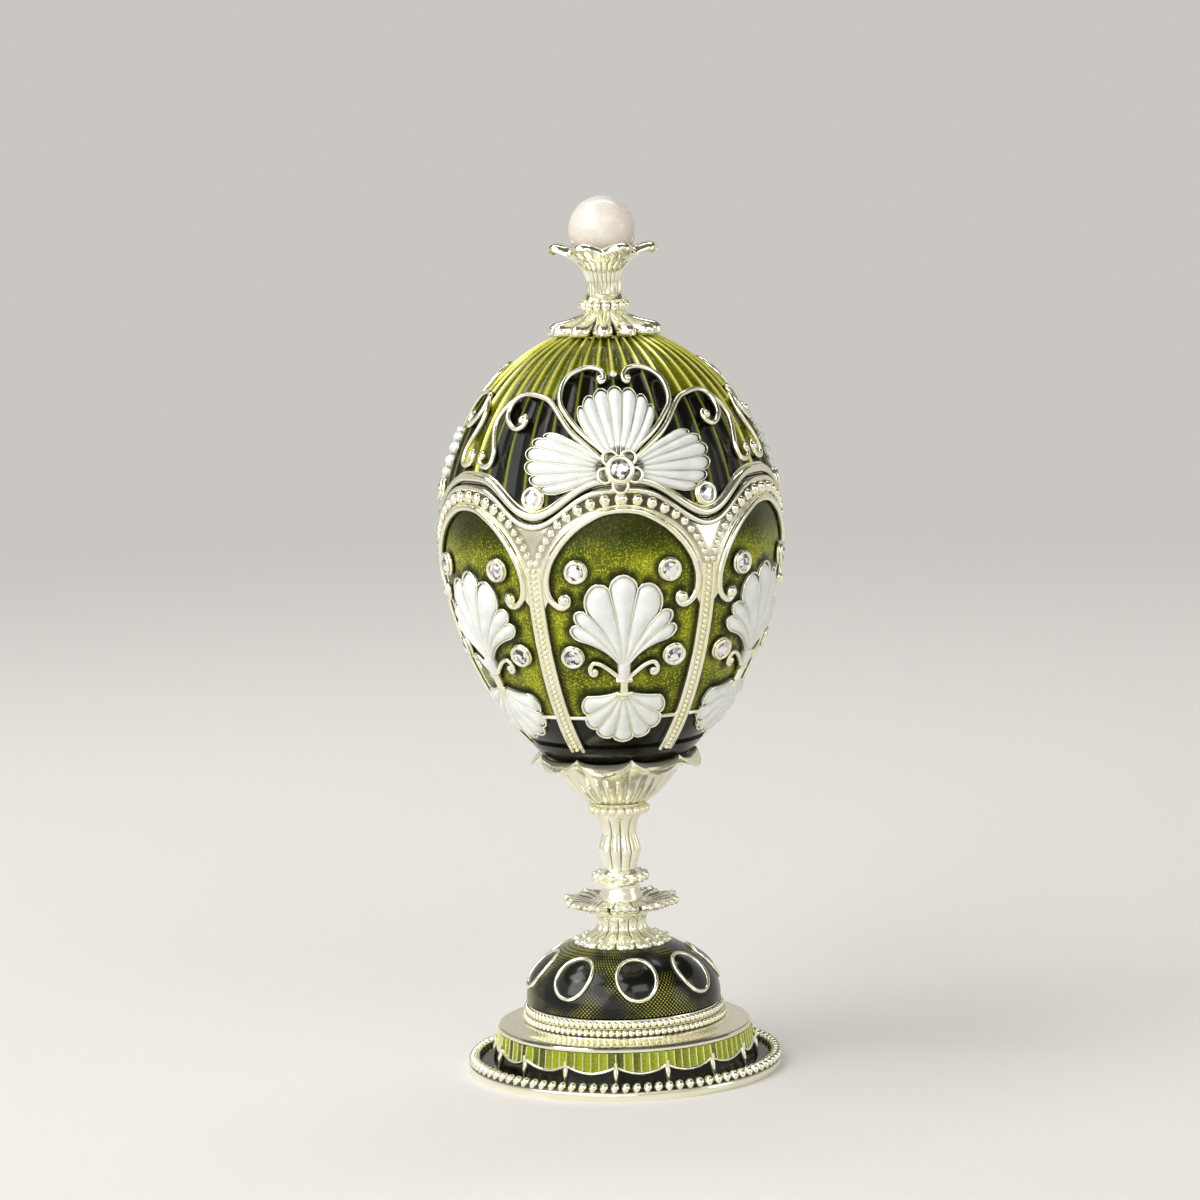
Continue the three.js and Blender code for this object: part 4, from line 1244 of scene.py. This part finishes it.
def white_fan(name, shell):
    """A fan of rounded petals, with painted shade along its creases and close round what stands on its root.
    """
    swings = fan_swings(shell, FAN_COLUMNS)
    columns = len(swings) - 1

    def place(u, v):
        swing = swings[round(u * columns)]
        crown = math.sin(math.pi * petal_of(shell, swing)) ** 0.7
        share = mix(shell["root"], fan_edge(shell, swing), v)
        body = min(1.0, 0.45 + v * 1.2) * (1 - ramp(0.86, 1.0, v) * 0.9)
        offset = shell["base"] + shell["lift"] * (0.25 + 0.75 * crown) * body
        if v > 0.999 or u < 0.001 or u > 0.999:
            offset = ENAMEL_DEPTH - 0.15
        return fan_point(shell, swing, share, offset)

    piece = draped(name, columns, FAN_ROWS, place, 70)
    layer = piece.data.attributes.new(name="pool", type="FLOAT", domain="POINT")
    for index, item in enumerate(layer.data):
        row, column = divmod(index, columns + 1)
        crown = math.sin(math.pi * petal_of(shell, swings[column]))
        # Painted shade along each crease between the petals.
        item.value = (1 - min(1.0, crown * 2.5)) * 0.8
        if "shade" in shell:
            # Painted shade close round the rosette on the root.
            share = mix(shell["root"], 1.0, row / FAN_ROWS)
            rosette_shade = 1 - ramp(shell["shade"] * 0.8, shell["shade"], share)
            item.value = max(item.value, 0.85 * rosette_shade)
    return coat(piece, WHITE)


def gold_fan(name, shell):
    """Raised gold lines between the petals and round their ends."""
    lines = []
    top = shell["base"] + shell["lift"] * 0.42
    rim = shell["base"] + 0.1

    def shares(swing, steps):
        return spread(shell["root"], fan_edge(shell, swing), steps)

    def flank(swing):
        return [fan_point(shell, swing, share, rim) for share in shares(swing, 10)]

    for swing in shell["edges"][1:-1]:
        levels = spread(top, top - 0.05, 12)
        path = [fan_point(shell, swing, share, level) for share, level in zip(shares(swing, 12), levels)]
        lines.append(wire("petal_line", path, shell["line"], (0.6, 1.0)))
    first, *inner, last = fan_swings(shell, FAN_COLUMNS)
    ends = [fan_point(shell, swing, fan_edge(shell, swing), rim) for swing in inner]
    outline = flank(first) + ends + flank(last)[::-1]
    lines.append(wire("petal_rim", outline, shell["line"] * 1.35, (0.7, 0.7), tip_share=0.1))
    return coat(joined(name, lines), GOLD)


def bezel_ring(name, major, minor):
    """A small raised collar round a stone, in two rings."""
    rings = []
    for radius, level, thickness in ((major, 0.35, minor), (major + 0.05, -0.1, minor * 1.15)):
        path = [round_axis(15 * k, radius, level) for k in range(24)]
        rings.append(wire(name, path, thickness, loop=True))
    return joined(name, rings)


def raise_facets(height, width, twist=0.0):
    """Pull the selected face up, narrow it and twist it, so that a row of facets is left round it."""
    bpy.ops.mesh.extrude_region_move(TRANSFORM_OT_translate={"value": (0, 0, height * MM)})
    bpy.ops.transform.resize(value=(width, width, 1))
    if twist:
        bpy.ops.transform.rotate(value=math.radians(twist), orient_axis="Z", center_override=(0, 0, 0))


def brilliant(name, radius):
    """A round stone with a table and two rows of facets."""
    start_clean()
    bpy.ops.mesh.primitive_cylinder_add(
        vertices=8, radius=radius * MM, depth=0.3 * MM, location=(0, 0, 0.1 * MM))
    piece = named(name)
    bpy.ops.object.transform_apply(location=True, rotation=False, scale=False)
    bpy.ops.object.mode_set(mode="EDIT")
    bpy.ops.mesh.select_all(action="DESELECT")
    bpy.ops.object.mode_set(mode="OBJECT")
    for face in piece.data.polygons:
        face.select = face.normal.z > 0.9
    bpy.ops.object.mode_set(mode="EDIT")
    bpy.ops.mesh.select_mode(type="FACE")
    raise_facets(0.3, 0.82, 22.5)
    raise_facets(0.22, 0.62)
    bpy.ops.mesh.select_all(action="SELECT")
    bpy.ops.mesh.quads_convert_to_tris()
    bpy.ops.mesh.normals_make_consistent(inside=False)
    close_faces()
    bpy.ops.object.shade_flat()
    return coat(piece, CRYSTAL)


neck_path = [on_egg(0, height, 0.0) for height in spread(-15.6, -18.1, 8)]
neck = wire("shell_neck", neck_path, 0.95, (1.0, 0.8), tip_share=0.5)
panel_fans = [white_fan("big_fan", BIG_SHELL), white_fan("small_fan", SMALL_SHELL)]
panel_white = coat(joined("panel_white", [*panel_fans, neck]), WHITE)
stem_path = [on_egg(0, height, 0.05) for height in spread(-18.0, -21.2, 10)]
stem_bar = wire("stem_bar", stem_path, 0.66, (0.9, 0.8))
stem_rings = []
for height in (-18.2, -20.3):
    across = (-1.1, -0.6, 0.0, 0.6, 1.1)
    ring_path = [on_egg(math.degrees(x / egg_radius(height)), height, 0.5 - 0.3 * abs(x)) for x in across]
    stem_rings.append(wire("stem_ring", ring_path, 0.36))
arms = []
for side in (-1, 1):
    arms.append(wire("scroll_arm", egg_path(eased(ARM), 0.05, side), 0.36, (1.0, 0.7)))
    arms.append(ball("arm_ball", on_egg(side * 11.2, -16.8, 0.1), 0.45))
panel_lines = [gold_fan("big_lines", BIG_SHELL), gold_fan("small_lines", SMALL_SHELL)]
panel_gold = joined("panel_gold", [*panel_lines, stem_bar, *stem_rings, *arms])

bezel_model = coat(bezel_ring("bezel", 1.42, 0.3), GOLD)
stone_model = brilliant("stone", 1.28)
bezels, stones = [], []
for turn, height in BEZELS:
    for side in (-1, 1):
        stand = upright_on_egg(side * turn, height, -0.05)
        bezels.append(twin_of(bezel_model, "panel_bezel", stand))
        stones.append(twin_of(stone_model, "panel_stone", stand))
panel_gold = coat(joined("panel_gold", [panel_gold, *bezels]), GOLD)
panel_stones = joined("panel_stones", stones)
settle_round(panel_white, PANELS, "panel_shells", "stand", "panel_ornament")
settle_round(panel_gold, PANELS, "panel_scrolls", "stand")
settle_round(panel_stones, PANELS, "panel_stones", "stand")

# Panel enamel, with painted shade along the frame, under the arch and round the ornament, where the enamel
# also pools beside metal

SILVER_LINE = -24.5
PANEL_TOP = 6.3
PANEL_TUCK = 0.25
SHADE_SPOT_DEPTH = -0.4
SHADE_WIDTH = 1.5
SHADE_SPOTS = []


def add_pool(outline, radius):
    """Painted shade round each point of an outline of (turn, height) pairs, on both sides of a panel, where
    the enamel also pools.
    """
    for side in (-1, 1):
        for place in egg_path(outline, SHADE_SPOT_DEPTH, side):
            SHADE_SPOTS.append((Vector(place), radius))


# Spots of painted shade round the shells, stones, arms and lip.
for shell in (BIG_SHELL, SMALL_SHELL):
    for swing in fan_swings(shell, 4):
        for share in (0.25, 0.5, 0.75, 0.9, 1.0):
            place = fan_point(shell, swing, fan_edge(shell, swing) * share, SHADE_SPOT_DEPTH)
            SHADE_SPOTS.append((Vector(place), 0.55))
add_pool(BEZELS, 1.75)
add_pool(eased(ARM, 3), 0.4)
add_pool(eased(LIP, 3), 0.5)


def panel_part(low, high):
    """Places on a panel between two heights, tucked a little under the frame."""
    def place(u, v):
        height = mix(low, high, v)
        half = cell_half(height) + math.degrees(PANEL_TUCK / egg_radius(height))
        return on_egg(mix(-half, half, u), height, ENAMEL_DEPTH)
    return place


def panel_pool(place):
    """Painted shade on the enamel along the frame, under the arch and round the ornament; beside the metal
    the enamel also pools deeper.
    """
    turn, height = turn_and_height(place)
    gap = (cell_half(height) - abs(turn)) * math.radians(1) * egg_radius(height)
    # Painted shade along the frame, growing towards the top under the arch.
    dark = max(0.85 * (1 - ramp(0.0, 1.9, gap)), 0.78 * ramp(-2.5, 4.2, height))
    for spot, radius in SHADE_SPOTS:
        near = (place - spot).length - radius
        if near < SHADE_WIDTH:
            dark = max(dark, 0.88 * (1 - ramp(-0.1, SHADE_WIDTH, near)))
    return dark


panel_field = draped("panel_field", 72, 96, panel_part(SILVER_LINE, PANEL_TOP))
shade_points(panel_field, panel_pool)
settle_round(coat(panel_field, PANEL_GREEN), PANELS, "panel_field", "stand", "panel_enamel")
panel_foot = draped("panel_foot", 40, 16, panel_part(CELL_FOOT - 0.2, SILVER_LINE))
silver_half = cell_half(SILVER_LINE)
silver_path = [on_egg(turn, SILVER_LINE, -0.25) for turn in spread(-silver_half, silver_half, 30)]
silver_line = coat(wire("silver_line", silver_path, 0.33), GOLD)
settle_round(coat(panel_foot, DEEP_BLACK), PANELS, "panel_foot", "stand")
settle(joined("silver_lines", round_copies(silver_line, PANELS, "silver_line")), "stand")

# Lid: wall with polished rim band, enamels, scrolls, shells

RIM_BAND = 1.5
FLUTES = 42
CARTOUCHES = 3
CROWN_TOP = CROWN_RISE * math.sqrt(1 - ((PAD_RADIUS - 0.2) / GIRTH_RADIUS) ** 2)
CARTOUCHE_EDGE = 50
STRIP_TOP = 22
CARTOUCHE_TOP = [
    (0, 25.3), (5.5, 25.7), (9, 26.4), (15, 26.6), (22, 25.9), (25.4, 24.6), (26.6, 22.6), (28.5, 22.1),
    (33, 22.7), (42, 23.0), (47.5, 22.6), (50, 21.9)]
STRIP_HALF = [
    (11.9, 3.0), (12.4, 3.6), (12.8, 6.0), (13.1, 8.6), (14.5, 9.6), (15.9, 8.5), (17.5, 6.5), (19, 5.5),
    (20.5, 6.6), (22, 10.4)]
MIDDLE_LOBE = [
    (2.5, 13.7), (7.3, 15.6), (10.8, 16.7), (15.5, 18.2), (20, 19.9), (23.6, 21.3), (25.6, 22.9),
    (25.5, 24.7), (22, 25.9), (15, 26.6), (8.3, 26.4), (5.4, 25.7), (5.2, 24.9), (6.8, 24.6), (7.9, 25.1)]
SIDE_LOBE = [
    (3.4, 13.0), (8.6, 14.8), (14, 16.5), (18.4, 17.9), (22.6, 19.6), (25.4, 20.7), (28.5, 21.7), (33, 22.5),
    (42, 23.0), (47.5, 22.6), (49.6, 21.5), (49.4, 20.1), (47, 19.0), (43, 18.2), (39.8, 18.5), (38.6, 19.3),
    (39.6, 20.0), (41.4, 19.8)]
SIDE_FRAME = [
    (47.5, 22.6), (50.5, 21.8), (53.5, 20.5), (54.6, 19), (53.5, 17.5), (51.4, 15.9), (50.3, 14.5),
    (51, 13.1), (54, 12.7), (57.0, 13.3), (57.6, 14.3), (56.3, 14.9)]
# Outline, thickness and tips of each scroll; turn, height and size of each ball at a scroll's end
SCROLLS = [(MIDDLE_LOBE, 0.42, (0.8, 0.7)), (SIDE_LOBE, 0.42, (0.8, 0.7)), (SIDE_FRAME, 0.4, (0.6, 0.7))]
VOLUTES = [(7.2, 25.0, 0.55), (40.5, 19.4, 0.62), (56.2, 14.2, 0.58)]


def from_nearest(turn, period, start=0.0):
    """Degrees from the nearest of the places that repeat round the axis."""
    turns = (turn - start) / period
    return abs(turns - round(turns)) * period


def band_top(turn):
    """Top of the rim band, which rises round the stone in each dip."""
    return seam_height(turn) + RIM_BAND + 1.4 * math.exp(-(from_nearest(turn, 60, 30) / 3.5) ** 2)


def lid_section(turn):
    low = seam_height(turn) + SEAM_GAP
    band = band_top(turn)
    outer = [egg_section(mix(low, band, k / 6), -0.45 + 0.12 * math.sin(math.pi * k / 6)) for k in range(7)]
    roof = [egg_section(height, CAST_DEPTH) for height in spread(band + 0.03, CROWN_TOP, 28)]
    inner = [egg_section(mix(low + 0.25, CROWN_TOP - 3.6, 1 - k / 20), -WALL) for k in range(21)]
    pad = [
        (PAD_RADIUS - 0.6, PAD_LEVEL - 0.3), (PAD_RADIUS - 0.8, PAD_LEVEL), (FINIAL_BORE, PAD_LEVEL),
        (FINIAL_BORE, PAD_LEVEL - 2.6)]
    rim = [egg_section(low, -2.0), egg_section(low, -0.9), outer[0]]
    return outer + roof + pad + inner + rim


def in_cartouche(place):
    turn, height = turn_and_height(place)
    away = from_nearest(turn, 120)
    if away <= CARTOUCHE_EDGE:
        return height < along(CARTOUCHE_TOP, away)
    return height < STRIP_TOP and away < 60 - along(STRIP_HALF, height)


def flute(turn):
    return fluting(turn * FLUTES / 360)


def crown_section(turn):
    heights = spread(band_top(turn), CROWN_TOP - 0.2, 80)
    return [egg_section(height, -0.72 + 0.5 * flute(turn)) for height in heights]


def near_turn(middle):
    """Picks the third of the lid round a turn."""
    return lambda place: abs((turn_of(place) - middle + 180) % 360 - 180) < 60


lid = rolled("lid_wall", 180, lid_section, 40)
cut_hinge_pocket(lid)
settle(coat(lid, GOLD), "lid", "lid_shell")

band_wire = wire("band_wire", seam_path(SEAM_GAP + 0.72, -0.32), 0.72)
shade_points(band_wire, seam_shade)
upper_line = wire("upper_line", seam_path(SEAM_GAP + 1.55, -0.42), 0.24)
valley_bezels, valley_stones = [], []
for k in range(PANELS):
    stand = upright_on_egg(RIB_TURN + 60 * k, 8.5, 0.15)
    valley_bezels.append(twin_of(bezel_model, "valley_bezel", stand))
    valley_stones.append(twin_of(stone_model, "valley_stone", stand))
settle(coat(joined("lid_band", [band_wire, upper_line, *valley_bezels]), GOLD), "lid")
settle(joined("valley_stones", valley_stones), "lid")

crown = rolled("crown_field", 756, crown_section, 60, False)
cartouche_all = separate_faces(crown, "cartouche_field", in_cartouche)
# Depth in the flutes, which places the painted highlight along the ridges.
for field in (crown, cartouche_all):
    shade_points(field, lambda p: 1 - flute(turn_of(p)))
settle(coat(crown, CROWN_GREEN), "lid", "crown_enamel")
coat(cartouche_all, CARTOUCHE_BLACK)
thirds = [separate_faces(cartouche_all, f"cartouche_field_{k + 1}", near_turn(120 * k)) for k in (1, 2)]
cartouche_all.name = "cartouche_field_1"
for number, piece in enumerate([cartouche_all, *thirds], 1):
    settle(piece, "lid", f"cartouche_enamel_{number}")

# Scrolls, rosette and shells of a cartouche

ROSETTE_HEIGHT = 12.2
ROSETTE_PETALS = 5
ROSETTE_RADIUS = 2.25
MIDDLE_SHELL = {
    "turn": 0.0, "height": 12.8, "heading": 0.0, "splay": 1.45,
    "edges": [-36, -26, -15.5, -5, 5, 15.5, 26, 36],
    "outline": [(0, 12.9), (10, 12.7), (20, 12.0), (30, 10.9), (36, 9.8)],
    "root": 0.12, "base": -0.1, "lift": 0.95, "notch": 0.08, "line": 0.06, "shade": 0.265,
}


def side_shell(side):
    return {
        "turn": side * 2.5, "height": 12.6, "heading": side * 84.0, "splay": 1.4,
        "edges": [-28, -19, -10, 0, 10, 19, 28],
        "outline": [(0, 13.4), (9, 13.1), (17, 12.2), (28, 10.2)],
        "root": 0.12, "base": -0.1, "lift": 0.95, "notch": 0.09, "line": 0.06, "shade": 0.225,
    }


scrolls = []
for side in (-1, 1):
    for outline, thickness, tips in SCROLLS:
        scrolls.append(wire("scroll", egg_path(eased(outline), 0.05, side), thickness, tips, tip_share=0.12))
    for turn, height, radius in VOLUTES:
        scrolls.append(ball("volute", on_egg(side * turn, height, 0.12), radius))
scrolls.append(ball("top_bead", on_egg(0, 25.6, 0.1), 0.6))

rosette_parts = []
for k in range(ROSETTE_PETALS):
    angle = 2 * math.pi * (k + 0.5) / ROSETTE_PETALS
    centre = Vector((ROSETTE_RADIUS * math.sin(angle), ROSETTE_RADIUS * math.cos(angle), 0.3))
    petal = ball("rosette_petal", centre, 1.2, 14, 8, 0.45)
    # Painted shade darkens each petal inside its bright loop.
    shade_points(petal, lambda place: 0.74)
    bends = [2 * math.pi * n / 20 for n in range(20)]
    loop = [centre + Vector((1.08 * math.sin(bend), 1.08 * math.cos(bend), 0.25)) for bend in bends]
    rosette_parts += [petal, wire("rosette_loop", loop, 0.26, loop=True)]
lifted = Matrix.Translation((0, 0, 0.7 * MM))
rosette_parts.append(twin_of(bezel_model, "rosette_bezel", lifted @ Matrix.Scale(1.25, 4)))
rosette = joined("rosette", rosette_parts)
stand = upright_on_egg(0, ROSETTE_HEIGHT, 0.1)
rosette.data.transform(stand)
scroll_frame = coat(joined("cartouche_scrolls", [*scrolls, rosette]), GOLD)
rosette_stone = twin_of(stone_model, "rosette_stone", stand @ lifted @ Matrix.Scale(1.1, 4))

fan_lines = [gold_fan("middle_lines", MIDDLE_SHELL)]
for label, side in (("left", -1), ("right", 1)):
    fan = white_fan(f"{label}_fan", side_shell(side))
    fan_lines.append(gold_fan(f"{label}_lines", side_shell(side)))
    settle_round(fan, CARTOUCHES, f"{label}_fan", "lid", f"{label}_shell")
settle_round(white_fan("middle_fan", MIDDLE_SHELL), CARTOUCHES, "middle_fan", "lid", "middle_shell")
scroll_frame = joined("cartouche_scrolls", [scroll_frame, *fan_lines])
settle_round(scroll_frame, CARTOUCHES, "cartouche_scrolls", "lid", "scroll_frame")
settle_round(rosette_stone, CARTOUCHES, "rosette_stone", "lid", "rosette_crystal")

bpy.data.objects.remove(bezel_model)
bpy.data.objects.remove(stone_model)

# Finial: petal collar, flower cup, pearl

FINIAL_PETALS = 12
FINIAL_TURN = -6.4
FLOWER_PETALS = 8
FLOWER_TURN = 18
FLOWER_RIBS = 24
PEARL_RADIUS = 5.0
PEARL_LEVEL = 126.3


def finial_collar_section(turn):
    """Twelve thick petals with deep notches, turned down at their tips."""
    petal = ripple(turn, FINIAL_PETALS, FINIAL_TURN)
    tip = 6.0 + 2.65 * petal ** 0.75
    plump = 0.9 * petal ** 0.8 - 0.15
    return [
        (FINIAL_BORE, 111.5), (5.4, 111.4), (tip - 0.8, 111.15), (tip - 0.3, 110.7), (tip - 0.02, 110.9),
        (tip, 111.4), (tip - 0.25, 111.75 + plump * 0.4), (tip - 1.0, 112.0 + plump * 0.8),
        (5.0, 112.65 + plump * 0.8),
        (4.1, 113.3 + plump * 0.5), (3.4, 114.0), (3.0, 114.5), (3.1, 114.7), (3.1, 115.5), (3.35, 115.75),
        (3.45, 116.0), (3.1, 116.6), (2.8, 116.92), (FINIAL_BORE, 116.92), (FINIAL_BORE, 111.5)]


def finial_collar_shade(place):
    """Painted shade between the beads of the ring and in the notches."""
    if 114.6 < place.z < 115.6:
        return 0.75
    return groove(ripple(turn_of(place), FINIAL_PETALS, FINIAL_TURN), 0.4) * ramp(113.8, 113.0, place.z)


def finial_cup_section(turn):
    """A fluted trumpet that opens into petals with thin, drooping lips."""
    petal = ripple(turn, FLOWER_PETALS, FLOWER_TURN) ** 1.2
    rib = 0.24 * ripple(turn, FLOWER_RIBS)
    tip = 8.75 - 1.5 * (1 - petal)
    wave = 0.9 * petal - 0.35
    return [
        (FINIAL_BORE, 116.9), (2.6, 116.9), (2.45 + rib, 117.6), (2.4 + rib, 118.4), (2.5 + rib, 119.3),
        (2.85 + rib, 120.2), (3.5 + rib, 121.1), (4.4 + rib, 121.8), (5.4 + rib * 0.5, 122.45 + wave * 0.3),
        (6.4, 123.0 + wave * 0.6), (tip - 1.1, 123.3 + wave), (tip - 0.3, 123.1 + wave), (tip, 122.9 + wave),
        (tip + 0.02, 123.25 + wave), (tip - 0.5, 123.75 + wave), (tip - 1.3, 123.95 + wave),
        (5.9, 123.55 + wave * 0.7), (5.35, 122.7), (4.6, 121.75), (3.6, 121.25), (FINIAL_BORE, 121.1),
        (FINIAL_BORE, 116.9)]


def finial_cup_shade(place):
    # Painted shade down the grooves between the ribs of the trumpet.
    return groove(ripple(turn_of(place), FLOWER_RIBS)) * ramp(122.6, 121.4, place.z)


collar = rolled("finial_leaves", 288, finial_collar_section)
shade_points(collar, finial_collar_shade)
collar_beads = bead_ring("collar_beads", 3.3, 115.1, 0.68, 15)
settle(coat(joined("finial_leaves", [collar, collar_beads]), GOLD), "lid", "finial_collar")
flower = rolled("finial_flower", 288, finial_cup_section)
shade_points(flower, finial_cup_shade)
settle(coat(flower, GOLD), "lid", "finial_cup")

pearl_rows = []
for angle in spread(0, math.pi, 40)[1:-1]:
    pearl_rows.append((PEARL_RADIUS * math.sin(angle), PEARL_LEVEL - PEARL_RADIUS * math.cos(angle)))
pearl_profile = [(0.0, PEARL_LEVEL - PEARL_RADIUS), *pearl_rows, (0.0, PEARL_LEVEL + PEARL_RADIUS)]
settle(coat(turned("pearl_bead", pearl_profile, 64), NACRE), "lid", "pearl")

# Solids that stay as they are

KEPT = {
    FELT: ("base_pad",),
    STEEL: ("stem_screw", "stem_washer", "bowl_magnet", "lid_magnet", "finial_stud", "finial_nut"),
    GOLD: ("bowl_hinge", "lid_hinge", "hinge_pin"),
}
for material, nodes in KEPT.items():
    for node in nodes:
        coat(frame["nodes"][node], material)

# Studio: pale floor sweeping up all round, soft lamps, camera

FLOOR_PROFILE = [
    (0, 0), (1200, 0), (1330, 15), (1430, 60), (1500, 130), (1545, 220), (1565, 330), (1570, 1100)]
PAPER_NEAR = 0.25
PAPER_FAR = 1.0


def studio_paper():
    """Pale paper that takes the shadow near the object and shows an even backdrop far from it."""
    paper = Finish("studio_paper")
    weave = paper.noise(900, 3)
    sheet = paper.node("ShaderNodeBsdfPrincipled", {}, {
        "Base Color": paper.blend(weave, tint(234, 231, 226), tint(239, 237, 233)),
        "Roughness": 0.7 + weave * 0.1})
    backdrop = paper.node("ShaderNodeEmission", {}, {
        "Color": paper.blend(weave, tint(200, 197, 192), tint(204, 201, 196))})
    ray = paper.node("ShaderNodeLightPath")
    camera_ray, glossy_ray, through_ray = (
        Amount(paper, ray.outputs[f"Is {kind} Ray"]) for kind in ("Camera", "Glossy", "Transmission"))
    away = paper.node("ShaderNodeVectorMath", {"operation": "LENGTH"}, {0: paper.place})
    far = paper.between(away.outputs["Value"], PAPER_NEAR, PAPER_FAR)
    shown = paper.node("ShaderNodeMixShader", {}, {
        0: far * (camera_ray + glossy_ray + through_ray),
        1: sheet.outputs["BSDF"], 2: backdrop.outputs["Emission"]})
    return paper.output(shown.outputs["Shader"])


def lamp(name, place, aim, width, height, power):
    light = bpy.data.lights.new(name, "AREA")
    light.shape = "RECTANGLE"
    light.size = width
    light.size_y = height
    light.energy = power
    holder = bpy.data.objects.new(name, light)
    holder.location = place
    holder.rotation_euler = (Vector(aim) - Vector(place)).to_track_quat("-Z", "Y").to_euler()
    holder.visible_camera = False
    bpy.context.collection.objects.link(holder)


floor = turned("studio_floor", FLOOR_PROFILE)
bpy.ops.object.mode_set(mode="EDIT")
bpy.ops.mesh.select_all(action="SELECT")
bpy.ops.mesh.normals_make_consistent(inside=True)
bpy.ops.object.mode_set(mode="OBJECT")
coat(floor, studio_paper())

lamp("key_lamp", (-0.6, -0.5, 0.55), (0, 0, 0.07), 0.8, 0.8, 6.0)
lamp("front_lamp", (0.3, -0.75, 0.7), (0, 0, 0.07), 0.7, 0.35, 1.9)
lamp("front_card", (-0.35, -1.15, 0.32), (0, 0, 0.06), 0.9, 0.6, 1.4)
lamp("fill_lamp", (0.75, -0.3, 0.25), (0, 0, 0.07), 0.3, 0.6, 0.7)
lamp("top_lamp", (-0.5, -0.05, 0.85), (0, 0, 0.08), 0.5, 0.4, 2.5)
lamp("backdrop_lamp", (0.0, 0.35, 0.9), (0, 0.95, 0.2), 0.8, 0.3, 3.6)

world = bpy.data.worlds.new("studio_air")
bpy.context.scene.world = world
world.use_nodes = True
air = world.node_tree.nodes["Background"].inputs
air["Color"].default_value = tint(206, 204, 200)
air["Strength"].default_value = 0.16

# Camera at the photograph's viewing angle, in metres and degrees
CAMERA_DISTANCE = 0.577
CAMERA_LEVEL = 0.138
CAMERA_TURN = 3.7
AIM_ASIDE = 0.187
AIM_DOWN = 6.62
ROLL = -1.66

camera_data = bpy.data.cameras.new("photo_camera")
camera_data.lens = 116.3
camera_data.sensor_width = 36
camera = bpy.data.objects.new("photo_camera", camera_data)
bpy.context.collection.objects.link(camera)
camera.location = round_axis(-CAMERA_TURN, CAMERA_DISTANCE, CAMERA_LEVEL)
heading = Matrix.Rotation(math.radians(AIM_ASIDE - CAMERA_TURN), 3, "Z")
tilt = Matrix.Rotation(math.radians(90 - AIM_DOWN), 3, "X")
camera.rotation_euler = (heading @ tilt @ Matrix.Rotation(math.radians(ROLL), 3, "Z")).to_euler()
bpy.context.scene.camera = camera
bpy.context.scene.view_settings.view_transform = "Standard"
